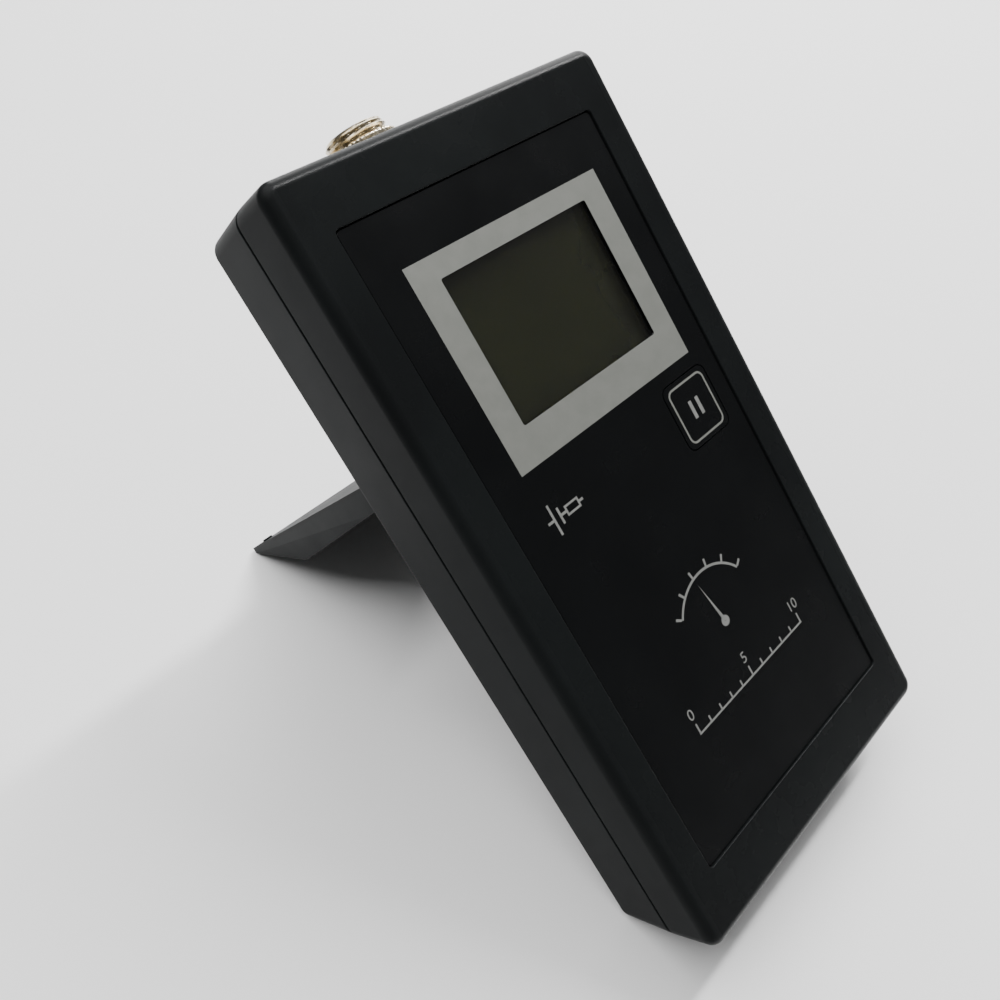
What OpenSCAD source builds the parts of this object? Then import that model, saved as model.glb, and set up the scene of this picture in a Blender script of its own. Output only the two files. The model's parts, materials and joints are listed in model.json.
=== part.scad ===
// Hand-held battery tester: a two-part case with a display, a hold key, a lead socket and a tilt stand.
// Case frame: X across, Y up the case from its foot, Z out of its face. placed() leans that frame back
// until the case's rear foot and the stand's tip are on the floor, as the tester stands in use.

/* [Case] */
// Width of the case at its seam
case_w = 80; // [76:1:96]
// Height of the case from foot to top
case_h = 155; // [154:1:176]
// Depth of the case from back to face
case_d = 26; // [25.5:0.5:31]
// Depth of the rear cover, from the back to the seam
seam_z = 14.5; // [13:0.25:15]
// Wall of both covers
wall = 2.5; // [2:0.1:2.8]
// Radius of the four upright corners
corner_r = 3.5; // [3:0.1:6]
// Radius round the face's edge
front_r = 2.2; // [1:0.1:2.8]
// Radius round the back's edge
back_r = 1.5; // [0.8:0.1:2]
// Slope of each cover's walls, as the inset that they gain from the seam
draft = 0.3; // [0.1:0.1:0.6]
// Height of the groove along the seam
seam_groove_h = 0.5; // [0.3:0.1:0.8]
// Depth of the groove along the seam
seam_groove_d = 0.7; // [0.3:0.1:1]

/* [Face] */
// Distance from the case's side to the printed face film
overlay_side = 8.7; // [8:0.1:10]
// Distance from the case's foot to the film
overlay_foot = 13.4; // [10:0.2:16]
// Distance from the case's top down to the film
overlay_drop = 11.6; // [10:0.2:14]
// Thickness of the film
overlay_t = 0.4; // [0.2:0.05:0.5]
// Depth of the film's face below the case's face
overlay_step = 0.4; // [0.2:0.05:0.5]
// Height of the display window
window_h = 28.4; // [22:0.1:29]
// Distance from the film's left edge to the window
window_left = 13.2; // [12:0.1:15]
// Distance from the window to the film's right edge
window_right = 11.8; // [11:0.1:15]
// Distance from the film's top edge down to the window
window_drop = 14.1; // [13:0.1:15]

/* [Hold key] */
// Width of the key
key_w = 13.2; // [10:0.2:13.4]
// Height of the key
key_h = 13.6; // [10:0.2:14]
// Distance from the key's middle to the film's right edge
key_right = 11; // [10:0.1:15]
// Distance from the window down to the key's middle
key_below = 16.9; // [15.5:0.1:17.3]
// Travel of the key
key_travel = 0.35; // [0.2:0.05:0.4]

/* [Tilt stand] */
// Distance from the case's side to the stand
stand_side = 4.5; // [4.5:0.1:8]
// Length of the stand from its hinge to its tip
stand_len = 87.4; // [78:0.1:89]
// Height of the stand's recess above the case's foot
stand_foot = 14.1; // [12.6:0.1:15]
// Angle that the stand opens to
stand_open = 85.5; // [60:0.1:88]
// Radius of the stand's hinge end
knuckle_r = 3; // [2.6:0.1:3.2]
// Greatest depth of the stand's sides
stand_depth = 9; // [6.5:0.1:9.2]
// Radius of the hinge pins
pivot_r = 1.5; // [1:0.1:1.8]

/* [Lead socket] */
// Radius over the socket's thread
thread_r = 6; // [5.6:0.1:6.2]
// Height that the socket stands above the case's top
socket_rise = 4.2; // [4:0.1:8]
// Distance of the socket's axis left of the case's middle
socket_x = 10; // [-12:0.5:14]
// Radius of the socket's mouth
mouth_r = 5; // [4.6:0.1:5]
// Depth of the socket's mouth
mouth_depth = 4; // [2:0.1:5]
// Radius of the ring nut
nut_r = 7; // [6.8:0.1:8]

/* [Battery] */
// Radius of one cell
cell_r = 5.25; // [5:0.05:5.25]
// Length of one cell with its nub
cell_len = 44.5; // [40:0.1:44.5]
// Least distance from the case's side to a cell
cell_side = 17.5; // [17:0.1:18]

/* [Hidden] */
$fn = 64;
// Steps round one turn of a hulled corner
corner_fn = 32;
// Length that a cut runs past what it cuts
over = 1;
// Thickness of the thin layers that a hull joins
layer = 0.01;
// Steps in a rounded edge of the covers
edge_steps = 8;

// Levels from the face back
film_z = case_d - overlay_step;
film_back_z = film_z - overlay_t;
lens_t = 1;
lens_z = film_back_z - lens_t;
inner_z = case_d - wall;
gasket_t = 0.5;
gasket_z = inner_z - gasket_t;
glass_t = 2.4;
glass_z = gasket_z - glass_t;
strip_h = 3.6;
board_face_z = glass_z - strip_h;
board_t = 1.6;
board_z = board_face_z - board_t;

// Places on the face, from the film's corner
overlay_w = case_w - 2 * overlay_side;
overlay_h = case_h - overlay_drop - overlay_foot;
window_w = overlay_w - window_left - window_right;
film_top = case_h - overlay_drop;
film_left = -overlay_w / 2;
film_mid = film_top - overlay_h / 2;
film_gap = 0.2;
film_corner_r = 0.8;
window_mid = [film_left + window_left + window_w / 2, film_top - window_drop - window_h / 2];
key_mid = [film_left + overlay_w - key_right, film_top - window_drop - window_h - key_below];
key_gap = 0.25;
key_corner_r = 2;

// Window pane and the opening behind it
lens_lap = 2;
lens_ledge = 0.5;
lens_gap = 0.1;
lens_w = window_w + 2 * lens_lap;
lens_h = window_h + 2 * lens_lap;
opening_w = window_w + 2 * lens_ledge;
opening_h = window_h + 2 * lens_ledge;
opening_corner_r = 0.6;

// Display stack
gasket_lap = 1;
glass_lap = 3.3;
glass_w = window_w + 2 * glass_lap;
glass_h = window_h + 2 * glass_lap + gasket_lap;
holder_wall = 1.6;
holder_gap = 0.15;
holder_w = glass_w + 2 * (holder_gap + holder_wall);
holder_h = glass_h + 2 * (holder_gap + holder_wall);
strip_t = 2.2;
strip_edge = 0.8;
strip_w = glass_w - 2 * strip_edge;
strip_y = glass_h / 2 - strip_edge - strip_t / 2;
backlight_t = 1;
backlight_gap = 0.3;
backlight_h = 2 * (strip_y - strip_t / 2 - backlight_gap);

// Stand recess in the rear cover
stand_gap = 0.5;
stand_side_gap = 0.4;
stop_gap = 0.15;
stand_w = case_w - 2 * stand_side;
recess_foot = stand_foot;
pivot_y = recess_foot + stand_gap + stand_len;
pivot_z = knuckle_r;
recess_w = stand_w + 2 * stand_side_gap;
recess_z = stand_depth + stand_gap;
recess_top = pivot_y + (knuckle_r + stop_gap) / sin(stand_open) + (recess_z - pivot_z) / tan(stand_open);
recess_floor_t = 2;
floor_z = recess_z + recess_floor_t;
pin_gap = 0.05;
pin_len = 2;
pin_end_gap = 0.3;
scoop_r = 5;
scoop_depth = 2;

// Stand outline, as depths below its outer face
stand_plate_t = 2;
stand_tip_t = 1.6;
stand_heel_t = 4.8;
stand_knee_run = 24.6;
stand_flange_t = 4;
stand_band_hinge = 6.4;
stand_facet_lean = 14;
stand_rib_t = 1.5;
stand_rib_depth = 5;
stand_rib_x = stand_w / 6;
stand_rib_run = 22;
pip_r = 1.3;
pip_h = 0.5;
pip_run = 9;
pip_edge = 1.8;

// Case screws, posts and inserts
screw_r = 1.45;
screw_len = 10;
screw_tip_gap = 1;
screw_head_r = 2.75;
screw_head_h = 2;
screw_hole_r = 1.7;
head_hole_r = 3.1;
insert_r = 2.1;
insert_bore_r = 1.5;
insert_len = 6;
insert_gap = 0.05;
case_post_r = 4;
screw_seat_z = floor_z + 0.1 * recess_floor_t;
top_post_inset = 7;
foot_post_inset = 9;
foot_post_rise = 5.5;
insert_bore_h = max(insert_len, screw_seat_z + screw_len + screw_tip_gap - seam_z);
top_posts = [for (side = [-1, 1]) [side * (case_w / 2 - top_post_inset), case_h - top_post_inset]];
foot_posts = [for (side = [-1, 1]) [side * (case_w / 2 - foot_post_inset), recess_foot + foot_post_rise]];
case_posts = concat(top_posts, foot_posts);

// Lip of the rear cover inside the front cover
lip_t = 1.2;
lip_gap = 0.1;
lip_h = 1.5;
lip_root = 3;
post_clear = 0.5;

// Battery bay and its door
bay_wall = 1.2;
bay_gap = 0.35;
bay_lid_t = 0.8;
bay_lid_gap = 0.1;
cell_gap = 0.4;
cell_pitch = 2 * cell_r + cell_gap;
cell_count = floor((case_w - 2 * cell_side) / cell_pitch);
plate_t = 0.4;
plate_w = 8;
spring_len = 5.6;
bay_w = cell_count * cell_pitch + 2 * bay_gap;
bay_len = cell_len + spring_len + 2 * plate_t;
bay_rise = 3;
bay_foot = recess_foot + bay_rise;
bay_top = bay_foot + bay_len;
bay_lid_z = inner_z - bay_lid_gap - bay_lid_t;
cell_z = bay_lid_z - bay_gap - cell_r;
nub_r = 1.9;
nub_len = 1.2;
spring_wire_r = 0.35;
spring_base_r = 3.4;
spring_tip_r = 2.4;
spring_turns = 4;
door_lap = 1.2;
door_t = 1.15;
door_gap = 0.15;
door_w = bay_w + 2 * door_lap;
door_foot = bay_foot - door_lap;
door_top = bay_top + door_lap;
door_tab_w = 12;
door_tab_h = 6;
tongue_w = 8;
tongue_len = 1.5;
tongue_t = 0.5;
tongue_x = door_w / 4;
door_screw_r = 1;
door_pilot_r = 1.05;
door_head_r = 2.1;
door_head_h = 1.1;
door_screw_len = 4.2;
door_post_r = 2.8;
door_post_top = board_z - 0.2 * board_t;
door_screw_y = door_top + door_tab_h / 2;

// Main board and its four posts
board_side = 6;
board_drop = 18;
board_bay_gap = 0.5;
board_w = case_w - 2 * board_side;
board_top = case_h - board_drop;
board_h = board_top - bay_top - bay_wall - board_bay_gap;
board_mid = board_top - board_h / 2;
board_post_r = 3;
board_pilot_r = 1.05;
board_pilot_len = 5.5;
board_screw_r = 1;
board_screw_len = 6.4;
board_head_r = 2;
board_head_h = 1.4;
board_hole_r = 1.2;
board_post_edge = 3.5;
board_post_drop = 4.5;
board_notch_w = 13;
board_notch_h = 4;
board_posts = [
  for (side = [-1, 1], end = [-1, 1])
    [side * (board_w / 2 - board_post_edge), board_mid + end * (board_h / 2 - board_post_drop)]
];

// Key switch
switch_w = 6.2;
switch_h = 3.5;
switch_bore_depth = 2;
plunger_r = 1.75;
plunger_gap = 0.05;
plunger_rest = key_travel + 0.1 * switch_bore_depth;
switch_leg_w = 0.8;
switch_leg_t = 0.4;

// Lead socket
socket_z = case_d / 2;
socket_hole_gap = 0.15;
mouth_shoulder = 0.8;
socket_at = [-socket_x, case_h, socket_z];
wall_back = -wall;
flange_r = 7.6;
flange_t = 2;
washer_t = 0.5;
washer_r = 7.2;
socket_tail_r = 5.6;
socket_tail = 5.5;
nut_h = 1.6;
thread_root_r = thread_r - 0.25 * mouth_shoulder;
core_r = mouth_r - 0.5 * mouth_shoulder;
insulator_gap = 0.05;
contact_r = 0.9;
contact_hole_r = 0.55;
contact_hole_depth = 5;
contact_ring_r = 2.6;
contact_tail = 2.5;
contact_count = 4;
shell_foot = wall_back - washer_t - flange_t - socket_tail;
mouth_floor = socket_rise - mouth_depth;
contact_foot = shell_foot - contact_tail;

// Wires and their header
wire_r = 0.6;
wire_sides = 8;
wire_rings = 10;
header_w = 12.5;
header_len = 5;
header_h = 3;
header_drop = 9;
header_top = board_top - header_drop;
header_pitch = 2.5;
lead_arch = 2.2;
lead_pad = 4;
lead_gap = 0.1 * wire_r;
lead_z = board_face_z + 2 * wire_r;

// Parts on the back of the board, as width, height and thickness
controller_size = [12, 12, 1.4];
converter_size = [7.5, 10.3, 2.3];
amplifier_size = [4, 5, 1.5];
transistor_size = [6.6, 6.2, 2.3];
crystal_size = [11, 4.5, 3.6];
inductor_size = [10, 10, 6];
resistor_size = [3.2, 1.6, 0.6];
part_gap = 0.4;
inductor_x = -socket_x - header_w / 2 - part_gap - inductor_size[0] / 2;
capacitor_r = 3.2;
capacitor_h = 8;
upper_row = (recess_top + recess_floor_t + board_top) / 2;
middle_row = board_mid - 0.05 * board_h;
lower_row = board_mid - 0.32 * board_h;
resistor_rows = 2;
resistor_columns = 4;

// Lean of the standing tester and its place over the floor
open_turn = 180 + stand_open;
tip = [
  pivot_y + stand_len * cos(open_turn) - (knuckle_r - stand_tip_t) * sin(open_turn),
  pivot_z + stand_len * sin(open_turn) + (knuckle_r - stand_tip_t) * cos(open_turn)
];
foot = [draft + back_r, back_r];
brow = [draft + front_r, case_d - front_r];
reach = [foot[0] - tip[0], foot[1] - tip[1]];
lean = atan2(reach[0], reach[1]) + acos(back_r / norm(reach));
floor_shift = -(tip[0] * sin(lean) + tip[1] * cos(lean));
front_reach = brow[0] * cos(lean) - brow[1] * sin(lean) - front_r;
back_reach = tip[0] * cos(lean) - tip[1] * sin(lean);
middle_shift = -(front_reach + back_reach) / 2;

// A point of the case frame as it lies in the standing frame
function placed_point(p) = [
  p[0],
  p[1] * cos(lean) - p[2] * sin(lean) + middle_shift,
  p[1] * sin(lean) + p[2] * cos(lean) + floor_shift
];

module placed() {
  translate([0, middle_shift, floor_shift])
    rotate([lean, 0, 0])
      children();
}

// Upright box centred on X and Y, from z up
module block(w, h, t) {
  translate([-w / 2, -h / 2, 0])
    cube([w, h, t]);
}

// Plate with round upright corners, centred on X and Y
module rounded_plate(w, h, t, r) {
  block(w - 2 * r, h, t);
  block(w, h - 2 * r, t);
  for (x = [-1, 1], y = [-1, 1])
    translate([x * (w / 2 - r), y * (h / 2 - r), 0])
      cylinder(r = r, h = t);
}

// One thin layer of a cover, drawn in from the seam's outline
module cover_layer(inset, z) {
  r = max(corner_r - inset, layer);
  for (x = [-1, 1], y = [0, 1])
    translate([x * (case_w / 2 - inset - r), y * case_h + (1 - 2 * y) * (inset + r), z])
      cylinder(r = r, h = layer, $fn = corner_fn);
}

// Outer form of a cover from the seam at z0 to its rounded end at z1
module cover_form(z0, z1, r) {
  way = sign(z1 - z0);
  sink = way > 0 ? layer : 0;
  hull() {
    cover_layer(0, z0 - (1 - way) / 2 * layer);
    for (i = [0 : edge_steps])
      cover_layer(draft + r * (1 - cos(90 * i / edge_steps)), z1 - way * r * (1 - sin(90 * i / edge_steps)) - sink);
  }
}

// Straight-sided solid that follows the case's outline at an inset
module case_core(inset, z0, z1) {
  translate([0, case_h / 2, z0])
    rounded_plate(case_w - 2 * inset, case_h - 2 * inset, z1 - z0, max(corner_r - inset / 2, wall));
}

// Passage of the lead socket through the top wall
module socket_passage(r, depth) {
  translate([-socket_x, case_h - depth, socket_z])
    rotate([-90, 0, 0])
      cylinder(r = r, h = depth + over);
}

module front_cover() placed() color("#26292b") difference() {
  union() {
    difference() {
      cover_form(seam_z, case_d, front_r);
      case_core(wall, seam_z - over, inner_z);
    }
    for (p = board_posts)
      translate([p[0], p[1], board_face_z])
        cylinder(r = board_post_r, h = inner_z - board_face_z + layer);
    for (p = case_posts)
      translate([p[0], p[1], seam_z])
        cylinder(r = case_post_r, h = inner_z - seam_z + layer);
  }
  difference() {
    case_core(-over, seam_z - over, seam_z + seam_groove_h);
    case_core(seam_groove_d, seam_z - 2 * over, seam_z + 2 * seam_groove_h);
  }
  translate([0, film_mid, film_back_z])
    rounded_plate(overlay_w + 2 * film_gap, overlay_h + 2 * film_gap, wall, film_corner_r);
  translate([window_mid[0], window_mid[1], lens_z])
    block(lens_w + 2 * lens_gap, lens_h + 2 * lens_gap, wall);
  translate([window_mid[0], window_mid[1], inner_z - over])
    rounded_plate(opening_w, opening_h, 2 * over, opening_corner_r);
  translate([key_mid[0], key_mid[1], inner_z - over])
    rounded_plate(key_w + 2 * key_gap, key_h + 2 * key_gap, wall + over, key_corner_r);
  for (p = board_posts)
    translate([p[0], p[1], board_face_z - over])
      cylinder(r = board_pilot_r, h = board_pilot_len + over);
  for (p = case_posts)
    translate([p[0], p[1], seam_z - over])
      cylinder(r = insert_r + insert_gap, h = insert_bore_h + over);
  socket_passage(thread_r + socket_hole_gap, 2 * wall);
}

module rear_cover() placed() color("#2b2e30") difference() {
  union() {
    difference() {
      cover_form(seam_z, 0, back_r);
      case_core(wall, wall, seam_z + over);
    }
    // Tub of the stand recess
    intersection() {
      cover_form(seam_z, 0, back_r);
      translate([0, (recess_foot + recess_top) / 2, 0])
        block(case_w, recess_top - recess_foot + 2 * recess_floor_t, floor_z);
    }
    // Lip that centres the front cover
    difference() {
      case_core(wall - layer, seam_z - lip_root, seam_z);
      case_core(wall + lip_gap + lip_t, seam_z - lip_root - over, seam_z + over);
    }
    difference() {
      case_core(wall + lip_gap, seam_z - layer, seam_z + lip_h);
      case_core(wall + lip_gap + lip_t, seam_z - over, seam_z + lip_h + over);
      for (p = top_posts)
        translate([p[0], p[1], seam_z])
          cylinder(r = case_post_r + post_clear, h = lip_h + over);
    }
    for (p = top_posts)
      translate([p[0], p[1], back_r])
        cylinder(r = case_post_r, h = seam_z - back_r);
    for (p = foot_posts)
      translate([p[0], p[1], recess_z + layer])
        cylinder(r = case_post_r, h = seam_z - recess_z - layer);
    // Battery bay
    translate([0, (bay_foot + bay_top) / 2, recess_z + layer])
      block(bay_w + 2 * bay_wall, bay_len + 2 * bay_wall, bay_lid_z + bay_lid_t - recess_z - layer);
    translate([0, door_screw_y, recess_z + layer])
      cylinder(r = door_post_r, h = door_post_top - recess_z - layer);
  }
  translate([0, (recess_foot + pivot_y) / 2, -over])
    block(recess_w, pivot_y - recess_foot, recess_z + over);
  // Upper end of the recess, whose wall is the open stand's stop
  translate([-recess_w / 2, pivot_y, pivot_z])
    rotate([open_turn, 0, 0])
      translate([0, pivot_z - recess_z, -knuckle_r])
        cube([recess_w, recess_z + over, 2 * knuckle_r + stop_gap]);
  translate([0, (bay_foot + bay_top) / 2, recess_z - over])
    block(bay_w, bay_len, bay_lid_z - recess_z + over);
  // Seat of the battery door
  translate([0, (door_foot + door_top) / 2, recess_z - over])
    block(door_w + 2 * door_gap, door_top - door_foot + 2 * door_gap, door_t + over);
  translate([0, door_top + door_tab_h / 2, recess_z - over])
    block(door_tab_w + 2 * door_gap, door_tab_h + 2 * door_gap, door_t + over);
  for (x = [-1, 1])
    translate([x * tongue_x, door_foot - tongue_len / 2, recess_z + door_t - tongue_t - door_gap])
      block(tongue_w + 2 * door_gap, tongue_len + 2 * door_gap, tongue_t + door_gap);
  translate([0, door_screw_y, recess_z])
    cylinder(r = door_pilot_r, h = door_screw_len);
  for (p = case_posts) {
    translate([p[0], p[1], -over])
      cylinder(r = head_hole_r, h = screw_seat_z + over);
    translate([p[0], p[1], 0])
      cylinder(r = screw_hole_r, h = seam_z + over);
  }
  // Hinge bores in the recess's side walls
  translate([-recess_w / 2 - pin_len - pin_end_gap + stand_side_gap, pivot_y, pivot_z])
    rotate([0, 90, 0])
      cylinder(r = pivot_r + pin_gap, h = recess_w + 2 * (pin_len + pin_end_gap - stand_side_gap));
  translate([0, recess_foot, scoop_depth - scoop_r])
    rotate([0, 90, 0])
      sphere(r = scoop_r);
  socket_passage(thread_r + socket_hole_gap, wall + lip_gap + lip_t + over);
  // Room behind the top wall for the socket's flange
  translate([-socket_x, case_h - wall - over, socket_z])
    rotate([90, 0, 0])
      translate([0, 0, -over])
        cylinder(r = flange_r + post_clear, h = lip_gap + lip_t + over);
}

module front_overlay() placed() color("#101213") difference() {
  translate([0, film_mid, film_back_z])
    rounded_plate(overlay_w, overlay_h, overlay_t, film_corner_r);
  translate([window_mid[0], window_mid[1], film_back_z - over])
    rounded_plate(window_w, window_h, overlay_t + 2 * over, opening_corner_r);
  translate([key_mid[0], key_mid[1], film_back_z - over])
    rounded_plate(key_w + 2 * key_gap, key_h + 2 * key_gap, overlay_t + 2 * over, key_corner_r);
}

module display_window() placed() color("#9aa39a", 0.35)
  translate([window_mid[0], window_mid[1], lens_z])
    block(lens_w, lens_h, lens_t);

module display_gasket() placed() color("#1c1c1c") difference() {
  translate([window_mid[0], window_mid[1], gasket_z])
    block(glass_w, glass_h, gasket_t);
  translate([window_mid[0], window_mid[1], gasket_z - over])
    block(window_w + 2 * gasket_lap, window_h + 2 * gasket_lap, gasket_t + 2 * over);
}

module display_glass() placed() color("#2e3022")
  translate([window_mid[0], window_mid[1], glass_z])
    block(glass_w, glass_h, glass_t);

module backlight_panel() placed() color("#d8dcc8")
  translate([window_mid[0], window_mid[1], glass_z - backlight_t])
    block(strip_w, backlight_h, backlight_t);

module display_holder() placed() color("#e4e2da") difference() {
  translate([window_mid[0], window_mid[1], board_face_z])
    block(holder_w, holder_h, gasket_z - board_face_z);
  translate([window_mid[0], window_mid[1], board_face_z - over])
    block(glass_w + 2 * holder_gap, glass_h + 2 * holder_gap, gasket_z - board_face_z + 2 * over);
}

module contact_strips() placed() color("#c9c2b8")
  for (side = [-1, 1])
    translate([window_mid[0], window_mid[1] + side * strip_y, board_face_z])
      block(strip_w, strip_t, strip_h);

module main_board() placed() color("#1f6b3a") difference() {
  translate([0, board_mid, board_z])
    block(board_w, board_h, board_t);
  for (p = board_posts)
    translate([p[0], p[1], board_z - over])
      cylinder(r = board_hole_r, h = board_t + 2 * over);
  // Notch that lets the socket's wires past
  translate([-socket_x, board_top, board_z - over])
    block(board_notch_w, 2 * board_notch_h, board_t + 2 * over);
}

// A part soldered to the back of the board, centred at x and y
module on_back(x, y, size) {
  translate([x, y, board_z - size[2]])
    block(size[0], size[1], size[2]);
}

module controller_chip() placed() color("#1a1a1c")
  on_back(0, middle_row, controller_size);

module converter_chip() placed() color("#1a1a1c")
  on_back(-board_w / 4, middle_row, converter_size);

module amplifier_chips() placed() color("#202022")
  for (i = [0 : 1])
    on_back(-board_w / 3 + i * 2 * amplifier_size[0], lower_row, amplifier_size);

module power_transistors() placed() color("#242426")
  for (i = [0 : 1])
    on_back(board_w / 8 + i * 1.5 * transistor_size[0], lower_row, transistor_size);

module timing_crystal() placed() color("#c2c4c8")
  on_back(board_w / 4, middle_row, crystal_size);

module supply_inductor() placed() color("#4a4a4e")
  on_back(inductor_x, upper_row, inductor_size);

module filter_capacitors() placed() color("#3a4a8c")
  for (i = [0 : 2])
    translate([board_w / 8 + (i - 1) * 2.3 * capacitor_r, upper_row, board_z - capacitor_h])
      cylinder(r = capacitor_r, h = capacitor_h);

module chip_resistors() placed() color("#2c2c30")
  for (i = [0 : resistor_columns - 1], j = [0 : resistor_rows - 1])
    on_back(-board_w / 3 + i * 1.6 * resistor_size[0], lower_row + 4 * amplifier_size[2]
      + j * 2 * resistor_size[1], resistor_size);

module key_switch() placed() color("#3a3a3c") {
  translate([key_mid[0], key_mid[1], board_face_z])
    difference() {
      block(switch_w, switch_w, switch_h);
      translate([0, 0, switch_h - switch_bore_depth])
        cylinder(r = plunger_r + plunger_gap, h = switch_bore_depth + over);
    }
  for (x = [-1, 1], y = [-1, 1])
    translate([key_mid[0] + x * (switch_w + switch_leg_w) / 2, key_mid[1] + y * switch_w / 3, board_face_z])
      block(switch_leg_w, switch_leg_w, switch_leg_t);
}

module switch_plunger() placed() color("#c8b48a")
  translate([key_mid[0], key_mid[1], board_face_z + switch_h - switch_bore_depth + plunger_rest])
    cylinder(r = plunger_r, h = film_back_z - board_face_z - switch_h + switch_bore_depth - plunger_rest);

module hold_key() placed() color("#121415")
  translate([key_mid[0], key_mid[1], film_back_z])
    rounded_plate(key_w, key_h, overlay_t, key_corner_r - key_gap);

// Socket frame: Z along the socket's axis, zero at the case's top
module at_socket() {
  translate(socket_at)
    rotate([-90, 0, 0])
      children();
}

module socket_shell() placed() color("#cfc3a0") at_socket() difference() {
  union() {
    translate([0, 0, nut_h])
      cylinder(r = thread_r, h = socket_rise - nut_h);
    translate([0, 0, wall_back - washer_t])
      cylinder(r = thread_root_r, h = nut_h - wall_back + washer_t + layer);
    translate([0, 0, wall_back - washer_t - flange_t])
      cylinder(r = flange_r, h = flange_t, $fn = 6);
    translate([0, 0, shell_foot])
      cylinder(r = socket_tail_r, h = socket_tail + layer);
  }
  translate([0, 0, mouth_floor])
    cylinder(r = mouth_r, h = mouth_depth + over);
  translate([0, 0, shell_foot - over])
    cylinder(r = core_r + insulator_gap, h = mouth_floor - shell_foot + 2 * over);
}

module socket_nut() placed() color("#d6cba8") at_socket() difference() {
  cylinder(r = nut_r, h = nut_h);
  translate([0, 0, -over])
    cylinder(r = thread_root_r + insert_gap, h = nut_h + 2 * over);
}

module socket_washer() placed() color("#b8b8b4") at_socket() translate([0, 0, wall_back - washer_t]) difference() {
  cylinder(r = washer_r, h = washer_t);
  translate([0, 0, -over])
    cylinder(r = thread_r + socket_hole_gap, h = washer_t + 2 * over);
}

module contact_ring() {
  for (i = [0 : contact_count - 1])
    rotate([0, 0, 360 * (i + 1 / 2) / contact_count])
      translate([contact_ring_r, 0, 0])
        children();
}

module socket_insulator() placed() color("#3b3a36") at_socket() difference() {
  translate([0, 0, shell_foot])
    cylinder(r = core_r, h = mouth_floor - shell_foot);
  contact_ring()
    translate([0, 0, shell_foot - over])
      cylinder(r = contact_r + insulator_gap, h = mouth_floor - shell_foot + 2 * over);
}

module socket_contacts() placed() color("#d9b45a") at_socket() contact_ring() difference() {
  translate([0, 0, contact_foot])
    cylinder(r = contact_r, h = mouth_floor - contact_foot);
  translate([0, 0, mouth_floor - contact_hole_depth])
    cylinder(r = contact_hole_r, h = contact_hole_depth + over);
}

// Points of a smooth bend from a to d, led by b and c
function bend(a, b, c, d) = [
  for (i = [0 : wire_rings])
    let (s = i / wire_rings, q = 1 - s)
      q * q * q * a + 3 * q * q * s * b + 3 * q * s * s * c + s * s * s * d
];

// Ring of points round p, square to the way it is heading
function ring(p, way, r, sides) =
  let (
    ahead = way / norm(way),
    aside = abs(ahead[0]) > 1 / 2 ? [0, 0, 1] : [1, 0, 0],
    u = cross(ahead, aside) / norm(cross(ahead, aside)),
    v = cross(ahead, u)
  )
  [for (k = [0 : sides - 1]) p + r * (cos(360 * k / sides) * u + sin(360 * k / sides) * v)];

// Round tube along a list of points
module tube(path, r, sides) {
  last = len(path) - 1;
  points = [
    for (i = [0 : last])
      each ring(path[i], path[min(i + 1, last)] - path[max(i - 1, 0)], r, sides)
  ];
  walls = [
    for (i = [0 : last - 1], k = [0 : sides - 1])
      let (a = i * sides + k, b = i * sides + (k + 1) % sides)
        each [[a, a + sides, b], [b, a + sides, b + sides]]
  ];
  start = [for (k = [1 : sides - 2]) [0, k, k + 1]];
  end = [for (k = [1 : sides - 2]) [last * sides, last * sides + k + 1, last * sides + k]];
  polyhedron(points = points, faces = concat(walls, start, end));
}

// Contact i of the socket, at its solder end, in the case frame
function solder_end(i) =
  let (turn = 360 * (i + 1 / 2) / contact_count)
  [-socket_x + contact_ring_r * cos(turn), case_h + contact_foot, socket_z - contact_ring_r * sin(turn)];

// Slot of the header that wire i goes to, in order of the contacts from left to right
function header_slot(i) =
  let (order_share = [2, 1, 0, 3])
  [-socket_x + (order_share[i] - 3 / 2) * header_pitch, header_top, board_z - header_h / 2];

module socket_wires() placed() color("#b03a30")
  for (i = [0 : contact_count - 1])
    let (
      a = solder_end(i),
      d = header_slot(i),
      lead = [0, (a[1] - d[1]) / 2, 0]
    )
    tube(bend(a, a - lead, d + lead, d), wire_r, wire_sides);

module wire_header() placed() color("#ece8de")
  translate([-socket_x, header_top - header_len / 2, board_z - header_h])
    block(header_w, header_len, header_h);

module battery_door() placed() color("#2b2e30") difference() {
  union() {
    translate([0, (door_foot + door_top) / 2, recess_z])
      block(door_w, door_top - door_foot, door_t);
    translate([0, door_top + door_tab_h / 2 - over / 2, recess_z])
      block(door_tab_w, door_tab_h + over, door_t);
    for (x = [-1, 1])
      translate([x * tongue_x, door_foot - tongue_len / 2 + over / 2, recess_z + door_t - tongue_t])
        block(tongue_w, tongue_len + over, tongue_t);
  }
  translate([0, door_screw_y, recess_z - over])
    cylinder(r = door_pilot_r, h = door_t + 2 * over);
}

// Pan-head screw pointing up Z, with its head's seat at zero and a cross recess
module screw(shank_r, shank_len, head_r, head_h) {
  slot_t = head_r / 4;
  difference() {
    translate([0, 0, -head_h])
      cylinder(r = head_r, h = head_h);
    for (turn = [0, 90])
      rotate([0, 0, turn])
        translate([0, 0, -head_h - over])
          block(head_r, slot_t, head_h / 2 + over);
  }
  translate([0, 0, -layer])
    cylinder(r = shank_r, h = shank_len + layer);
}

module door_screw() placed() color("#8c8e90")
  translate([0, door_screw_y, recess_z])
    screw(door_screw_r, door_screw_len - door_gap, door_head_r, door_head_h);

module case_screws() placed() color("#8c8e90")
  for (p = case_posts)
    translate([p[0], p[1], screw_seat_z])
      screw(screw_r, screw_len, screw_head_r, screw_head_h);

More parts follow.
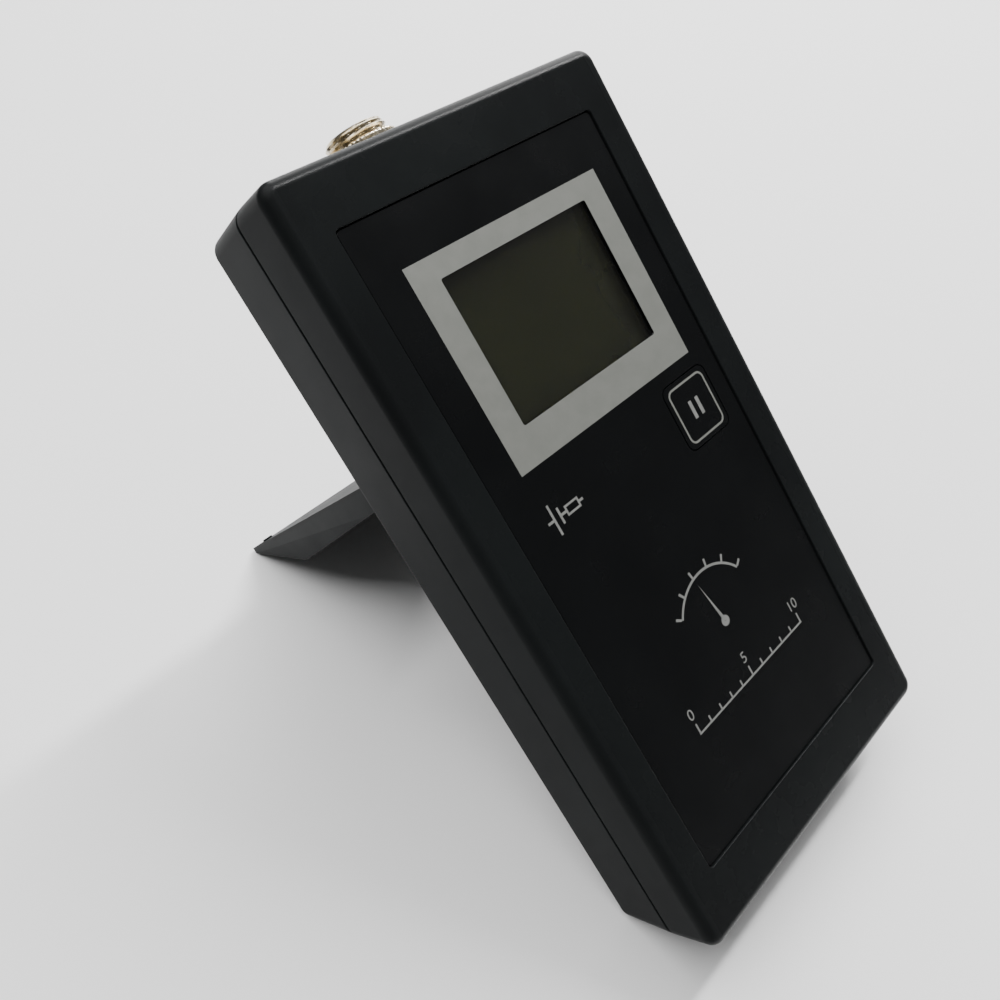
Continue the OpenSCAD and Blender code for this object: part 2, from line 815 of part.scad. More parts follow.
module case_inserts() placed() color("#c8a14a")
  for (p = case_posts)
    translate([p[0], p[1], seam_z])
      difference() {
        cylinder(r = insert_r, h = insert_len);
        translate([0, 0, -over])
          cylinder(r = insert_bore_r, h = insert_len + 2 * over);
      }

module board_screws() placed() color("#8c8e90")
  for (p = board_posts)
    translate([p[0], p[1], board_z])
      screw(board_screw_r, board_screw_len, board_head_r, board_head_h);

// Cell i of the row, and the way that its nub points
function cell_x(i) = (i - (cell_count - 1) / 2) * cell_pitch;
function cell_way(i) = i % 2 == 0 ? 1 : -1;
function nub_end(i) = cell_way(i) > 0 ? bay_top - plate_t : bay_foot + plate_t;

module battery_cells() placed() color("#c9a227")
  for (i = [0 : cell_count - 1])
    translate([cell_x(i), nub_end(i), cell_z])
      rotate([90 * cell_way(i), 0, 0]) {
        cylinder(r = nub_r, h = nub_len + layer);
        translate([0, 0, nub_len])
          cylinder(r = cell_r, h = cell_len - nub_len);
      }

// Centre line of a spring that narrows from its plate to the cell
spring_steps = 8 * spring_turns;
function spring_point(i) =
  let (
    s = i / spring_steps,
    r = spring_base_r + s * (spring_tip_r - spring_base_r),
    turn = 360 * spring_turns * s
  )
  [r * cos(turn), r * sin(turn), spring_wire_r + s * (spring_len - 2 * spring_wire_r)];

// Least gap between neighbouring turns of the spring
spring_gaps = [
  for (i = [0 : spring_steps - 8])
    norm(spring_point(i + 8) - spring_point(i)) - 2 * spring_wire_r
];
echo(spring_least_gap = min(spring_gaps));

module battery_springs() placed() color("#b9bcc0")
  for (i = [0 : cell_count - 1])
    translate([cell_x(i), nub_end(i) - cell_way(i) * (cell_len + spring_len), cell_z])
      rotate([-90 * cell_way(i), 0, 0])
        tube([for (k = [0 : spring_steps]) spring_point(k)], spring_wire_r, 6);

module battery_plates() placed() color("#c4c6c8")
  for (i = [0 : cell_count - 1], y = [bay_foot, bay_top - plate_t])
    translate([cell_x(i), y + plate_t / 2, cell_z - plate_w / 2])
      block(plate_w, plate_t, plate_w);

module battery_wires() placed() color("#a83226")
  for (side = [-1, 1])
    let (
      x = side * bay_w / 2 - side * cell_pitch / 2,
      a = [x, bay_top + bay_wall, lead_z],
      d = [x, board_top - board_h + lead_pad, board_face_z + lead_gap],
      lead = [0, lead_arch, 0],
      rise = [0, 0, lead_arch]
    )
    tube(bend(a, a + lead, d + rise, d), wire_r, wire_sides);

// Side outline of the stand: along it from the hinge, and up towards its outer face
stand_outline = [
  [0, knuckle_r],
  [stand_len, knuckle_r],
  [stand_len, knuckle_r - stand_tip_t],
  [stand_len - stand_knee_run, knuckle_r - stand_depth],
  [0, knuckle_r - stand_heel_t]
];

module tilt_stand() placed() color("#2e3133")
  translate([0, pivot_y, pivot_z])
    rotate([open_turn, 0, 0]) {
      difference() {
        union() {
          translate([-stand_w / 2, 0, 0])
            rotate([90, 0, 90])
              linear_extrude(stand_w)
                polygon(stand_outline);
          translate([-stand_w / 2, 0, 0])
            rotate([0, 90, 0])
              cylinder(r = knuckle_r, h = stand_w);
        }
        translate([0, (stand_len + 2 * knuckle_r) / 2, -2 * stand_depth])
          block(stand_w - 2 * stand_flange_t, stand_len - 2 * knuckle_r, 2 * stand_depth + knuckle_r - stand_plate_t);
        // Lower half of each side leans in
        for (side = [0, 1])
          mirror([side, 0, 0])
            translate([stand_w / 2, 0, knuckle_r - stand_band_hinge])
              rotate([atan2(stand_band_hinge - stand_tip_t, stand_len), 0, 0])
                rotate([0, stand_facet_lean, 0])
                  translate([0, -stand_depth, -3 * stand_depth])
                    cube([stand_depth, stand_len + 2 * stand_depth, 3 * stand_depth]);
      }
      // Stiffening ribs under the plate
      for (side = [-1, 1])
        translate([side * stand_rib_x, (stand_len - stand_rib_run) / 2 + knuckle_r, knuckle_r - stand_rib_depth])
          block(stand_rib_t, stand_len - stand_rib_run - 2 * layer, stand_rib_depth - stand_plate_t + layer);
      translate([-stand_w / 2 - pin_len, 0, 0])
        rotate([0, 90, 0])
          cylinder(r = pivot_r, h = stand_w + 2 * pin_len);
      for (side = [-1, 1])
        translate([side * (stand_w / 2 - pip_edge), stand_len - pip_run, knuckle_r - layer])
          cylinder(r = pip_r, h = pip_h + layer);
    }

echo(lean = lean);
echo(socket_top = placed_point([-socket_x, case_h + socket_rise, socket_z]));
echo(nut_top = placed_point([-socket_x, case_h + nut_h, socket_z]));
echo(pivot = placed_point([0, pivot_y, pivot_z]));
echo(back_face = placed_point([0, (recess_top + case_h) / 2, 0]));
echo(key_mid = placed_point([key_mid[0], key_mid[1], film_z]));

front_cover();
rear_cover();
front_overlay();
display_window();
display_gasket();
display_glass();
backlight_panel();
display_holder();
contact_strips();
main_board();
controller_chip();
converter_chip();
amplifier_chips();
power_transistors();
filter_capacitors();
timing_crystal();
supply_inductor();
chip_resistors();
key_switch();
switch_plunger();
hold_key();
socket_shell();
socket_nut();
socket_washer();
socket_insulator();
socket_contacts();
socket_wires();
wire_header();
battery_door();
door_screw();
battery_cells();
battery_springs();
battery_plates();
battery_wires();
case_screws();
case_inserts();
board_screws();
tilt_stand();
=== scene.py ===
# %% [markdown]
# # A battery tester on its stand
# The object is a hand-held meter: two moulded half shells, a printed film on the face, a display, a flat
# key, a metal lead socket on top and a wide stand at the back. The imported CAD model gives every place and
# size. Blender adds what plastic, film, ink, glass and turned metal look like.

# %% Load the frame
import json
import math

import bmesh
import bpy
import numpy as np
from mathutils import Matrix, Vector


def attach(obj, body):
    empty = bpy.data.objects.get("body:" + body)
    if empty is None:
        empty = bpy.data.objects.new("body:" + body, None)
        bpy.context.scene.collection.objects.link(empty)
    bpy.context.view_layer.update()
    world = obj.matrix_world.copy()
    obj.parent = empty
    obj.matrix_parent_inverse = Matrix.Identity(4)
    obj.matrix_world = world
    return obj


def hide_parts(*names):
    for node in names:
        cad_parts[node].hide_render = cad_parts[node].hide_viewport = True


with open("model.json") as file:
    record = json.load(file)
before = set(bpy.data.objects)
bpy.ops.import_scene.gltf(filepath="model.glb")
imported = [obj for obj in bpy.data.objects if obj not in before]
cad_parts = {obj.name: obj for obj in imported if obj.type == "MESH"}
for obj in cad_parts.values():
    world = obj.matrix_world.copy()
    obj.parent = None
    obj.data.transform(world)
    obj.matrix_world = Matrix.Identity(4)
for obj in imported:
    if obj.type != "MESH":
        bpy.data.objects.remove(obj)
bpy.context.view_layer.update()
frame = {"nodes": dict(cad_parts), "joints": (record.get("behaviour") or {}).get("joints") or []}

# %% [markdown]
# The case leans back on its stand, so drawing it straight in the room's axes would be awkward. Every piece
# is drawn in the case's own frame instead, in millimetres: X across, Y up the case from its foot, Z out of
# its face. One matrix then puts the finished mesh in its place. Its lean comes from the key's direction of
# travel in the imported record, and its position from the stand's hinge.

# %% The case's own frame
MM = 0.001
joints = {joint["name"]: joint for joint in frame["joints"]}
key_way = Vector(joints["hold_key_press"]["axis"])
hinge = Vector(joints["stand_hinge"]["pos_m"])
HINGE_Y, HINGE_Z = 102.0, 3.0
lean = math.atan2(key_way.y, -key_way.z)
case_to_room = (
    Matrix.Translation(hinge)
    @ Matrix.Rotation(lean, 4, "X")
    @ Matrix.Scale(MM, 4)
    @ Matrix.Translation((0, -HINGE_Y, -HINGE_Z))
)
room_to_case = case_to_room.inverted()
print("The case leans by", round(math.degrees(lean), 2), "degrees")


def case_box(node):
    """Lowest and highest corner of a CAD node in the case's frame, in millimetres."""
    points = np.array([room_to_case @ v.co for v in frame["nodes"][node].data.vertices])
    return points.min(0), points.max(0)


# %% [markdown]
# Three ways of making a mesh cover most of this object. Moulded shells are lofted: a stack of rounded
# outlines, joined ring by ring. Turned parts are spun from a profile. What repeats comes from Geometry
# Nodes. The helpers below keep each of them to a few lines.

# %% Objects and materials
SMOOTH_ANGLE = math.radians(32)


def new_object(name, data):
    """An object in the scene, round a mesh, a camera or a lamp."""
    thing = bpy.data.objects.new(name, data)
    bpy.context.scene.collection.objects.link(thing)
    return thing


def cover(mesh, look):
    """Gives a mesh one material in place of what it had."""
    mesh.materials.clear()
    mesh.materials.append(look)


def as_piece(name, points, faces, look):
    """A mesh object drawn in the case's frame. It goes to its place in settle()."""
    mesh = bpy.data.meshes.new(name)
    mesh.from_pydata(points, [], faces)
    mesh.materials.append(look)
    return new_object(name, mesh)


# %% From a drawn mesh to a finished piece


def tidy_mesh(piece, merge=1e-4, turn_out=True):
    """Welds doubles, turns the faces outwards and shades smooth up to a crease angle."""
    form = bmesh.new()
    form.from_mesh(piece.data)
    bmesh.ops.remove_doubles(form, verts=form.verts, dist=merge)
    if turn_out:
        bmesh.ops.recalc_face_normals(form, faces=form.faces)
    form.to_mesh(piece.data)
    form.free()
    piece.data.shade_smooth()
    piece.data.set_sharp_from_angle(angle=SMOOTH_ANGLE)
    return piece


def settle(piece, body, *nodes, slot=None):
    """Puts a finished piece in the room, on the body that it moves with."""
    piece.data.transform(case_to_room)
    piece.data.update()
    even = piece.modifiers.new("Even", "WEIGHTED_NORMAL")
    even.keep_sharp, even.weight = True, 100
    bake(piece, tidy=False)
    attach(piece, body)
    if nodes:
        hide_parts(*nodes)
    print(piece.name, "has", len(piece.data.polygons), "faces")
    return piece


# %% Lofted shells


def outline(width, height, radius, middle=(0, 0), steps=10):
    """Points of a rounded rectangle, counter-clockwise from its right side."""
    points = []
    for corner, (side, end) in enumerate(((1, 1), (-1, 1), (-1, -1), (1, -1))):
        x = middle[0] + side * (width / 2 - radius)
        y = middle[1] + end * (height / 2 - radius)
        for step in range(steps + 1):
            angle = math.pi / 2 * (corner + step / steps)
            points.append((x + radius * math.cos(angle), y + radius * math.sin(angle)))
    return points


def loft(name, rings, look, closed=False):
    """Joins rings of equal count. An open loft gets a face over each end."""
    count = len(rings[0])
    points = [p for ring in rings for p in ring]
    faces = []
    for r in range(len(rings) - (0 if closed else 1)):
        here, there = r * count, (r + 1) % len(rings) * count
        for i in range(count):
            j = (i + 1) % count
            faces.append((here + i, here + j, there + j, there + i))
    if not closed:
        faces.append(tuple(range(count))[::-1])
        faces.append(tuple(range((len(rings) - 1) * count, len(rings) * count)))
    return tidy_mesh(as_piece(name, points, faces, look))


def ring_at(points, z):
    """A flat outline lifted to a height."""
    return [(x, y, z) for x, y in points]


def quarter(steps):
    """Angles of a quarter turn, in equal steps."""
    return [math.pi / 2 * step / steps for step in range(steps + 1)]


# %% Turned parts


def turned(name, profile, look, steps=64, place=None):
    """Spins a profile of (radius, height) pairs round Z. A radius of zero closes an end."""
    points, faces, rows = [], [], []
    for radius, height in profile:
        if radius == 0:
            rows.append([len(points)] * steps)
            points.append((0, 0, height))
        else:
            rows.append(list(range(len(points), len(points) + steps)))
            for i in range(steps):
                angle = 2 * math.pi * i / steps
                points.append((radius * math.cos(angle), radius * math.sin(angle), height))
    for lower, upper in zip(rows, rows[1:]):
        for i in range(steps):
            j = (i + 1) % steps
            corners = dict.fromkeys((lower[i], lower[j], upper[j], upper[i]))
            if len(corners) > 2:
                faces.append(tuple(corners))
    piece = as_piece(name, points, faces, look)
    if place is not None:
        piece.data.transform(place)
    return tidy_mesh(piece)


# %% Cutting, adding and baking


def carve(piece, cutters, operation="DIFFERENCE"):
    """Cuts or adds solids with exact booleans, then removes them."""
    for cutter in cutters:
        cut = piece.modifiers.new("Carve", "BOOLEAN")
        cut.operation, cut.solver, cut.object = operation, "EXACT", cutter
    return bake(piece, cutters)


def bake(piece, helpers=(), tidy=True):
    """Turns the evaluated piece into a plain mesh and drops its modifiers."""
    bpy.context.view_layer.update()
    shape = piece.evaluated_get(bpy.context.evaluated_depsgraph_get())
    mesh = bpy.data.meshes.new_from_object(shape)
    piece.modifiers.clear()
    old, piece.data = piece.data, mesh
    bpy.data.meshes.remove(old)
    for helper in helpers:
        bpy.data.objects.remove(helper)
    return tidy_mesh(piece, turn_out=False) if tidy else piece


# %% [markdown]
# A Geometry Nodes tree is written like a recipe: named inputs first, then the steps. A modifier's input is
# set by the socket's identifier, so one helper looks that up by the input's name.

# %% What all node trees share


class Tree:
    """A node tree in the making."""

    def __init__(self, tree):
        self.tree = tree

    def add(self, kind, settings=None, **links):
        """Adds a node. Each keyword is an input's name, with _ for a space, and takes a value or a link."""
        node = self.tree.nodes.new(kind)
        for key, value in (settings or {}).items():
            setattr(node, key, value)
        for key, value in links.items():
            self.feed(node.inputs[key.replace("_", " ")], value)
        return node.outputs

    def feed(self, socket, value):
        """Links a socket to another one, or sets its value."""
        if isinstance(value, bpy.types.NodeSocket):
            self.tree.links.new(value, socket)
        else:
            socket.default_value = value

    def maths(self, operation, *values):
        """Adds a Math node, whose inputs all have the same name."""
        node = self.tree.nodes.new("ShaderNodeMath")
        node.operation = operation
        for socket, value in zip(node.inputs, values):
            self.feed(socket, value)
        return node.outputs[0]


# %% Geometry Nodes
SOCKETS = {
    float: "NodeSocketFloat",
    bpy.types.Material: "NodeSocketMaterial",
    bpy.types.Object: "NodeSocketObject",
}


class Recipe(Tree):
    """A Geometry Nodes tree in the making."""

    def __init__(self, name, **inputs):
        super().__init__(bpy.data.node_groups.new(name, "GeometryNodeTree"))
        sockets = self.tree.interface
        sockets.new_socket("Geometry", in_out="INPUT", socket_type="NodeSocketGeometry")
        sockets.new_socket("Geometry", in_out="OUTPUT", socket_type="NodeSocketGeometry")
        for label, kind in inputs.items():
            sockets.new_socket(label, in_out="INPUT", socket_type=SOCKETS[kind])
        self.start = self.tree.nodes.new("NodeGroupInput").outputs
        self.end = self.tree.nodes.new("NodeGroupOutput").inputs

    def finish(self, geometry, look):
        """Ends in Realize Instances and Set Material, because the export drops instances."""
        real = self.add("GeometryNodeRealizeInstances", Geometry=geometry)[0]
        dressed = self.add("GeometryNodeSetMaterial", Geometry=real, Material=look)[0]
        self.feed(self.end["Geometry"], dressed)
        return self

    def run(self, piece, **values):
        """Runs the tree on a piece and leaves a plain mesh."""
        modifier = piece.modifiers.new("Recipe", "NODES")
        modifier.node_group = self.tree
        for socket in self.tree.interface.items_tree:
            if socket.in_out == "INPUT" and socket.name in values:
                modifier[socket.identifier] = values[socket.name]
        return bake(piece)


# %% [markdown]
# Materials are built from the same few layers that real surfaces have: a colour that drifts a little, a
# gloss that varies, and a fine relief. Moulded ABS has an eroded grain of about a seventh of a millimetre.
# All patterns read Object coordinates, which are metres here, so a scale of 7000 means grains of that size.

# %% A builder for surface finishes


class Finish(Tree):
    """A material in the making, round one Principled shader."""

    def __init__(self, name, **sockets):
        self.material = bpy.data.materials.new(name)
        self.material.use_nodes = True
        super().__init__(self.material.node_tree)
        self.shader = self.tree.nodes["Principled BSDF"]
        for key, value in sockets.items():
            self.shader.inputs[key.replace("_", " ")].default_value = value
        self.place = self.add("ShaderNodeTexCoord")["Object"]

    def noise(self, scale, detail=3.0, place=None):
        """Soft random patches, as many to the metre as the scale says."""
        return self.add("ShaderNodeTexNoise", Vector=place or self.place, Scale=scale, Detail=detail)["Fac"]

    def ramp(self, factor, *stops):
        """A colour ramp from (position, grey or colour) stops."""
        node = self.tree.nodes.new("ShaderNodeValToRGB")
        self.tree.links.new(factor, node.inputs["Fac"])
        ramp = node.color_ramp
        while len(ramp.elements) < len(stops):
            ramp.elements.new(0.5)
        for element, (position, tone) in zip(ramp.elements, stops):
            element.position = position
            element.color = (*tone, 1) if isinstance(tone, tuple) else (tone, tone, tone, 1)
        return node.outputs["Color"]

    def mix(self, factor, first, second):
        """Blends two colours. A Mix node keeps those of its colour mode at places 6 and 7."""
        node = self.tree.nodes.new("ShaderNodeMix")
        node.data_type = "RGBA"
        self.feed(node.inputs[0], factor)
        for place, colour in ((6, first), (7, second)):
            self.feed(node.inputs[place], (*colour, 1) if isinstance(colour, tuple) else colour)
        return node.outputs[2]

    def colour(self, light, dark, scale, detail=4.0):
        """Base colour that drifts between two tones."""
        self.feed(self.shader.inputs["Base Color"],
                  self.ramp(self.noise(scale, detail), (0.35, dark), (0.65, light)))
        return self

    def gloss(self, low, high, scale, detail=4.0):
        """Roughness that drifts between two values."""
        self.feed(self.shader.inputs["Roughness"],
                  self.ramp(self.noise(scale, detail), (0.3, low), (0.7, high)))
        return self

    def relief(self, height, depth):
        """Bump of a depth in metres."""
        bump = self.add("ShaderNodeBump", Height=height, Distance=depth, Strength=1.0)
        self.feed(self.shader.inputs["Normal"], bump["Normal"])
        return self

    def grain(self, scale, detail, depth):
        """Relief of soft random patches."""
        return self.relief(self.noise(scale, detail), depth)


# %% [markdown]
# ## Camera, floor and light
# The camera stands where the photograph was taken from. Its place was fitted to the case's edges, so the
# render can be laid over the picture. The floor is plain and pale. The light is soft: a broad box overhead,
# a panel behind the tester with a dim box above it, and a faint white surrounding. A narrow strip to the
# right is there for one thing only, the thin bright line along the case's upper edge.

# %% Camera
PICTURE = 1000
SENSOR = 36.0
FOCAL_PIXELS = 932.43
camera_data = bpy.data.cameras.new("camera")
camera = new_object("camera", camera_data)
bpy.context.scene.camera = camera
camera_data.sensor_width = SENSOR
camera_data.lens = FOCAL_PIXELS / PICTURE * SENSOR
camera_data.shift_y = 0.015
camera_data.clip_start = 0.005
camera.location = (-0.11136, -0.06809, 0.19785)
camera.rotation_euler = [math.radians(a) for a in (40.3232, -4.0345, -46.829)]
print("Lens in mm:", round(camera_data.lens, 2))

# %% Floor and light
FLOOR_HALF = 3.0
FLOOR_DROP = 0.0002  # just under the case's foot, so that no two faces share a plane
floor_look = Finish("floor_paint", Roughness=0.9).colour((0.92, 0.92, 0.92), (0.90, 0.90, 0.90), 3.0)
corners = [(FLOOR_HALF * x, FLOOR_HALF * y, 0) for x, y in ((-1, -1), (1, -1), (1, 1), (-1, 1))]
floor = as_piece("floor", corners, [(0, 1, 2, 3)], floor_look.material)
floor.location.z = -FLOOR_DROP

world = bpy.data.worlds.new("studio")
bpy.context.scene.world = world
world.use_nodes = True
surround = world.node_tree.nodes["Background"].inputs
surround["Color"].default_value = (1, 1, 1, 1)
surround["Strength"].default_value = 0.12

# %% Lamps
LOW_AIM, HIGH_AIM = (0, 0, 0.05), (0, 0.05, 0.1)


def lamp(name, power, width, height, place, aim):
    """A flat soft box that looks at a point."""
    light = bpy.data.lights.new(name, "AREA")
    light.energy, light.shape, light.size, light.size_y = power, "RECTANGLE", width, height
    holder = new_object(name, light)
    holder.location = place
    holder.rotation_euler = (Vector(aim) - Vector(place)).to_track_quat("-Z", "Y").to_euler()


lamp("top_box", 37.0, 1.6, 1.6, (-0.3, 0.5, 1.5), LOW_AIM)
lamp("back_panel", 12.0, 1.1, 0.9, (0.8, 0.66, 0.55), HIGH_AIM)
lamp("edge_fill", 2.0, 0.4, 0.6, (0.72, 0.34, 0.76), HIGH_AIM)
lamp("edge_strip", 11.0, 0.05, 0.6, (0.6, 0.06, 0.9), HIGH_AIM)

# %% [markdown]
# ## The plastics
# Both shells are charcoal ABS with a fine eroded grain. The photograph shows it satin, lighter where the
# lamp grazes the side. The film is nearly black and smoother, with the faint orange-peel of coated
# polyester.

# %% Plastic
FACE_EDGE, SIDE_START = 0.0366, 0.0388
FACE_MIRROR, SIDE_MIRROR, SIDE_ROUGHNESS = 0.085, 0.035, 0.17


def moulded(name, low, high, **sockets):
    """Charcoal ABS with an eroded grain, whose roughness drifts between two values."""
    finish = Finish(name, **sockets).colour((0.0088, 0.0100, 0.0102), (0.0070, 0.0077, 0.0080), 45.0)
    return finish.gloss(low, high, 160.0).grain(7000.0, 2.0, 0.00002)


def from_face_to_side(finish, face, side):
    """A value that changes where the case's face turns into its sides."""
    sideways = finish.maths("ABSOLUTE", finish.add("ShaderNodeSeparateXYZ", Vector=finish.place)[0])
    return finish.add("ShaderNodeMapRange", Value=sideways, From_Min=FACE_EDGE, From_Max=SIDE_START,
                      To_Min=face, To_Max=side)[0]


# The case's sides are moulded coarser than its face, so they mirror less of the pale ground.
abs_black = moulded("charcoal_abs", 0.25, 0.29)
mirror, roughness = abs_black.shader.inputs["Specular IOR Level"], abs_black.shader.inputs["Roughness"]
abs_black.feed(mirror, from_face_to_side(abs_black, FACE_MIRROR, SIDE_MIRROR))
coarser = from_face_to_side(abs_black, 0.0, SIDE_ROUGHNESS)
abs_black.feed(roughness, abs_black.maths("ADD", roughness.links[0].from_socket, coarser))
stand_black = moulded("stand_abs", 0.42, 0.48, Specular_IOR_Level=SIDE_MIRROR)

# %% Film and ink
film_black = Finish("face_film", Specular_IOR_Level=0.25)
film_black.colour((0.0036, 0.0040, 0.0043), (0.0028, 0.0031, 0.0034), 60.0)
film_black.gloss(0.24, 0.28, 90.0)
film_black.grain(1400.0, 1.0, 0.0000015)
silver_ink = Finish("silver_ink", Specular_IOR_Level=0.4, Metallic=0.2)
silver_ink.colour((0.196, 0.201, 0.184), (0.180, 0.186, 0.169), 300.0)
silver_ink.gloss(0.42, 0.5, 900.0)
silver_ink.grain(9000.0, 1.0, 0.000006)
white_ink = Finish("white_ink", Specular_IOR_Level=0.3)
white_ink.colour((0.190, 0.193, 0.184), (0.165, 0.168, 0.160), 900.0)
white_ink.gloss(0.5, 0.6, 900.0)
print("Finishes so far:", len(bpy.data.materials))

# %% [markdown]
# ## Front shell
# The front shell is one closed loft. Its rings run from the seam up the outside, round the edge, across the
# face, down into the film's recess, through the window's opening and back down the inside. A groove at the
# seam throws the dark line round the case. The recess's rim is rounded a little, which gives its thin
# bright edge.

# %% The case's outline
CASE_W, CASE_H, CASE_D, SEAM_Z = 80.0, 155.0, 26.0, 14.5
WALL, CORNER_R, LEAST_R, INNER_R = 2.5, 3.5, 0.4, 2.5
FRONT_R, BACK_R, DRAFT, EDGE = 2.2, 1.5, 0.3, 0.12
INNER_Z = CASE_D - WALL


def case_ring(inset, z, radius=None):
    """The case's outline drawn in by an inset, at a height."""
    corner = max(CORNER_R - inset, LEAST_R) if radius is None else radius
    return ring_at(outline(CASE_W - 2 * inset, CASE_H - 2 * inset, corner, (0, CASE_H / 2)), z)


def rounded_end(wall_z, end_z, radius, steps=10):
    """Rings of a rounded edge from an upright wall to a flat end."""
    way = 1 if end_z > wall_z else -1
    rings = []
    for angle in quarter(steps):
        drop = radius * (1 - math.sin(angle))
        rings.append(case_ring(DRAFT + radius * (1 - math.cos(angle)), end_z - way * drop))
    return rings


def plate_ring(size, radius, middle, z, grow=0.0):
    """A rounded rectangle at a height, wider all round by a margin."""
    width, height = size
    return ring_at(outline(width + 2 * grow, height + 2 * grow, radius, middle), z)


# %% Film, window and key
FILM, FILM_R, FILM_DROP = (62.6, 130.0), 0.8, 11.6
FILM_BACK_Z, FILM_FACE_Z = 25.2, 25.6
FILM_LEFT, FILM_TOP = -FILM[0] / 2, CASE_H - FILM_DROP
FILM_MID = (0, FILM_TOP - FILM[1] / 2)
WINDOW, WINDOW_R = (37.6, 28.4), 0.5
WINDOW_IN, WINDOW_DROP = 13.2, 14.1
WINDOW_MID = (FILM_LEFT + WINDOW_IN + WINDOW[0] / 2, FILM_TOP - WINDOW_DROP - WINDOW[1] / 2)
KEY, KEY_HOLE_R, KEY_GAP = (13.2, 13.6), 2.0, 0.25
KEY_IN, KEY_DROP = 51.6, 59.4
KEY_MID = (FILM_LEFT + KEY_IN, FILM_TOP - KEY_DROP)

# %% Front shell
GROOVE_H, GROOVE_D = 0.5, 0.7
RECESS_GAP, RECESS_R, RIM = 0.2, 0.9, 0.2
POCKET_MARGIN, POCKET_T = 2.1, 1.0
SIGHT_MARGIN, SIGHT_R = 0.5, 0.6


def rim_ring(angle):
    """One ring of the rounded rim round the film's recess."""
    out = RIM * (1 - math.sin(angle))
    return plate_ring(FILM, RECESS_R + out, FILM_MID, CASE_D - RIM * (1 - math.cos(angle)), RECESS_GAP + out)


groove_top = SEAM_Z + GROOVE_H
pocket_z = FILM_BACK_Z - POCKET_T
front_rings = [
    case_ring(WALL, SEAM_Z, INNER_R),
    case_ring(GROOVE_D, SEAM_Z),
    case_ring(GROOVE_D, groove_top),
    case_ring(EDGE, groove_top),
    case_ring(0.0, groove_top + EDGE),
    *rounded_end(SEAM_Z, CASE_D, FRONT_R),
    *[rim_ring(angle) for angle in quarter(4)],
    plate_ring(FILM, RECESS_R, FILM_MID, FILM_BACK_Z, RECESS_GAP),
    plate_ring(WINDOW, WINDOW_R, WINDOW_MID, FILM_BACK_Z, POCKET_MARGIN),
    plate_ring(WINDOW, WINDOW_R, WINDOW_MID, pocket_z, POCKET_MARGIN),
    plate_ring(WINDOW, SIGHT_R, WINDOW_MID, pocket_z, SIGHT_MARGIN),
    plate_ring(WINDOW, SIGHT_R, WINDOW_MID, INNER_Z, SIGHT_MARGIN),
    case_ring(WALL, INNER_Z, INNER_R),
]
front_shell = loft("front_shell", front_rings, abs_black.material, closed=True)

# %% [markdown]
# The key's opening and the socket's round passage are cut afterwards, with exact booleans. The posts for
# the screws are added the same way, so that the shell is one sound solid that could be moulded.

# %% Plain solids for cutting and adding
BORE_STEPS = 48
RUN_OUT = 1  # how far a cutter goes past what it cuts


def at(middle):
    """A move to a place in the case's outline."""
    return Matrix.Translation((*middle, 0))


def rod(name, radius, low, high, place=None):
    """A round solid along Z, then put in its place."""
    return turned(name, [(0, low), (radius, low), (radius, high), (0, high)], None, BORE_STEPS, place)


def block(name, low, high):
    """A box between two corners."""
    (left, foot, back), (right, head, front) = low, high
    ring = [(left, foot), (right, foot), (right, head), (left, head)]
    return loft(name, [ring_at(ring, back), ring_at(ring, front)], None)


def key_hole(low, high):
    """What is cut out round the key."""
    return loft("key_hole", [plate_ring(KEY, KEY_HOLE_R, KEY_MID, z, KEY_GAP) for z in (low, high)], None)


# %% Openings and posts of the front shell
SOCKET_X, SOCKET_Z = -10.0, CASE_D / 2
PASSAGE_R, PASSAGE_FOOT, PASSAGE_TOP = 6.15, -5, 3
POSTS = [(33, 148), (-33, 148), (31, 19.6), (-31, 19.6)]
BOARD_POSTS = [(30.5, 132.5), (-30.5, 132.5), (30.5, 74.2), (-30.5, 74.2)]
POST_R, INSERT_BORE_R, INSERT_BORE_Z = 4.0, 2.15, 21.5
BOARD_POST_R, BOARD_POST_Z = 3.0, 17.0
PILOT_R, PILOT_Z = 1.05, 22.5
SINK = 0.5  # how far an added post goes into the wall
SOCKET_WAY = Matrix.Translation((SOCKET_X, CASE_H, SOCKET_Z)) @ Matrix.Rotation(-math.pi / 2, 4, "X")
carve(front_shell, [rod("post", POST_R, SEAM_Z, INNER_Z + SINK, at(p)) for p in POSTS]
      + [rod("post", BOARD_POST_R, BOARD_POST_Z, INNER_Z + SINK, at(p)) for p in BOARD_POSTS], "UNION")
carve(front_shell, [key_hole(INNER_Z - RUN_OUT, CASE_D + RUN_OUT),
                    rod("passage", PASSAGE_R, PASSAGE_FOOT, PASSAGE_TOP, SOCKET_WAY)]
      + [rod("bore", INSERT_BORE_R, SEAM_Z - RUN_OUT, INSERT_BORE_Z, at(p)) for p in POSTS]
      + [rod("bore", PILOT_R, BOARD_POST_Z - RUN_OUT, PILOT_Z, at(p)) for p in BOARD_POSTS])
settle(front_shell, "case", "front_cover", slot="case_abs")

# %% [markdown]
# ## Rear shell
# The rear shell is an open box with the same outline. A tub for the folded stand is sunk into its back, and
# the battery bay stands on the tub's floor. The recess and the screws' bores have a small flare at their
# mouths, because a moulded edge is never razor sharp and a flare catches the light.

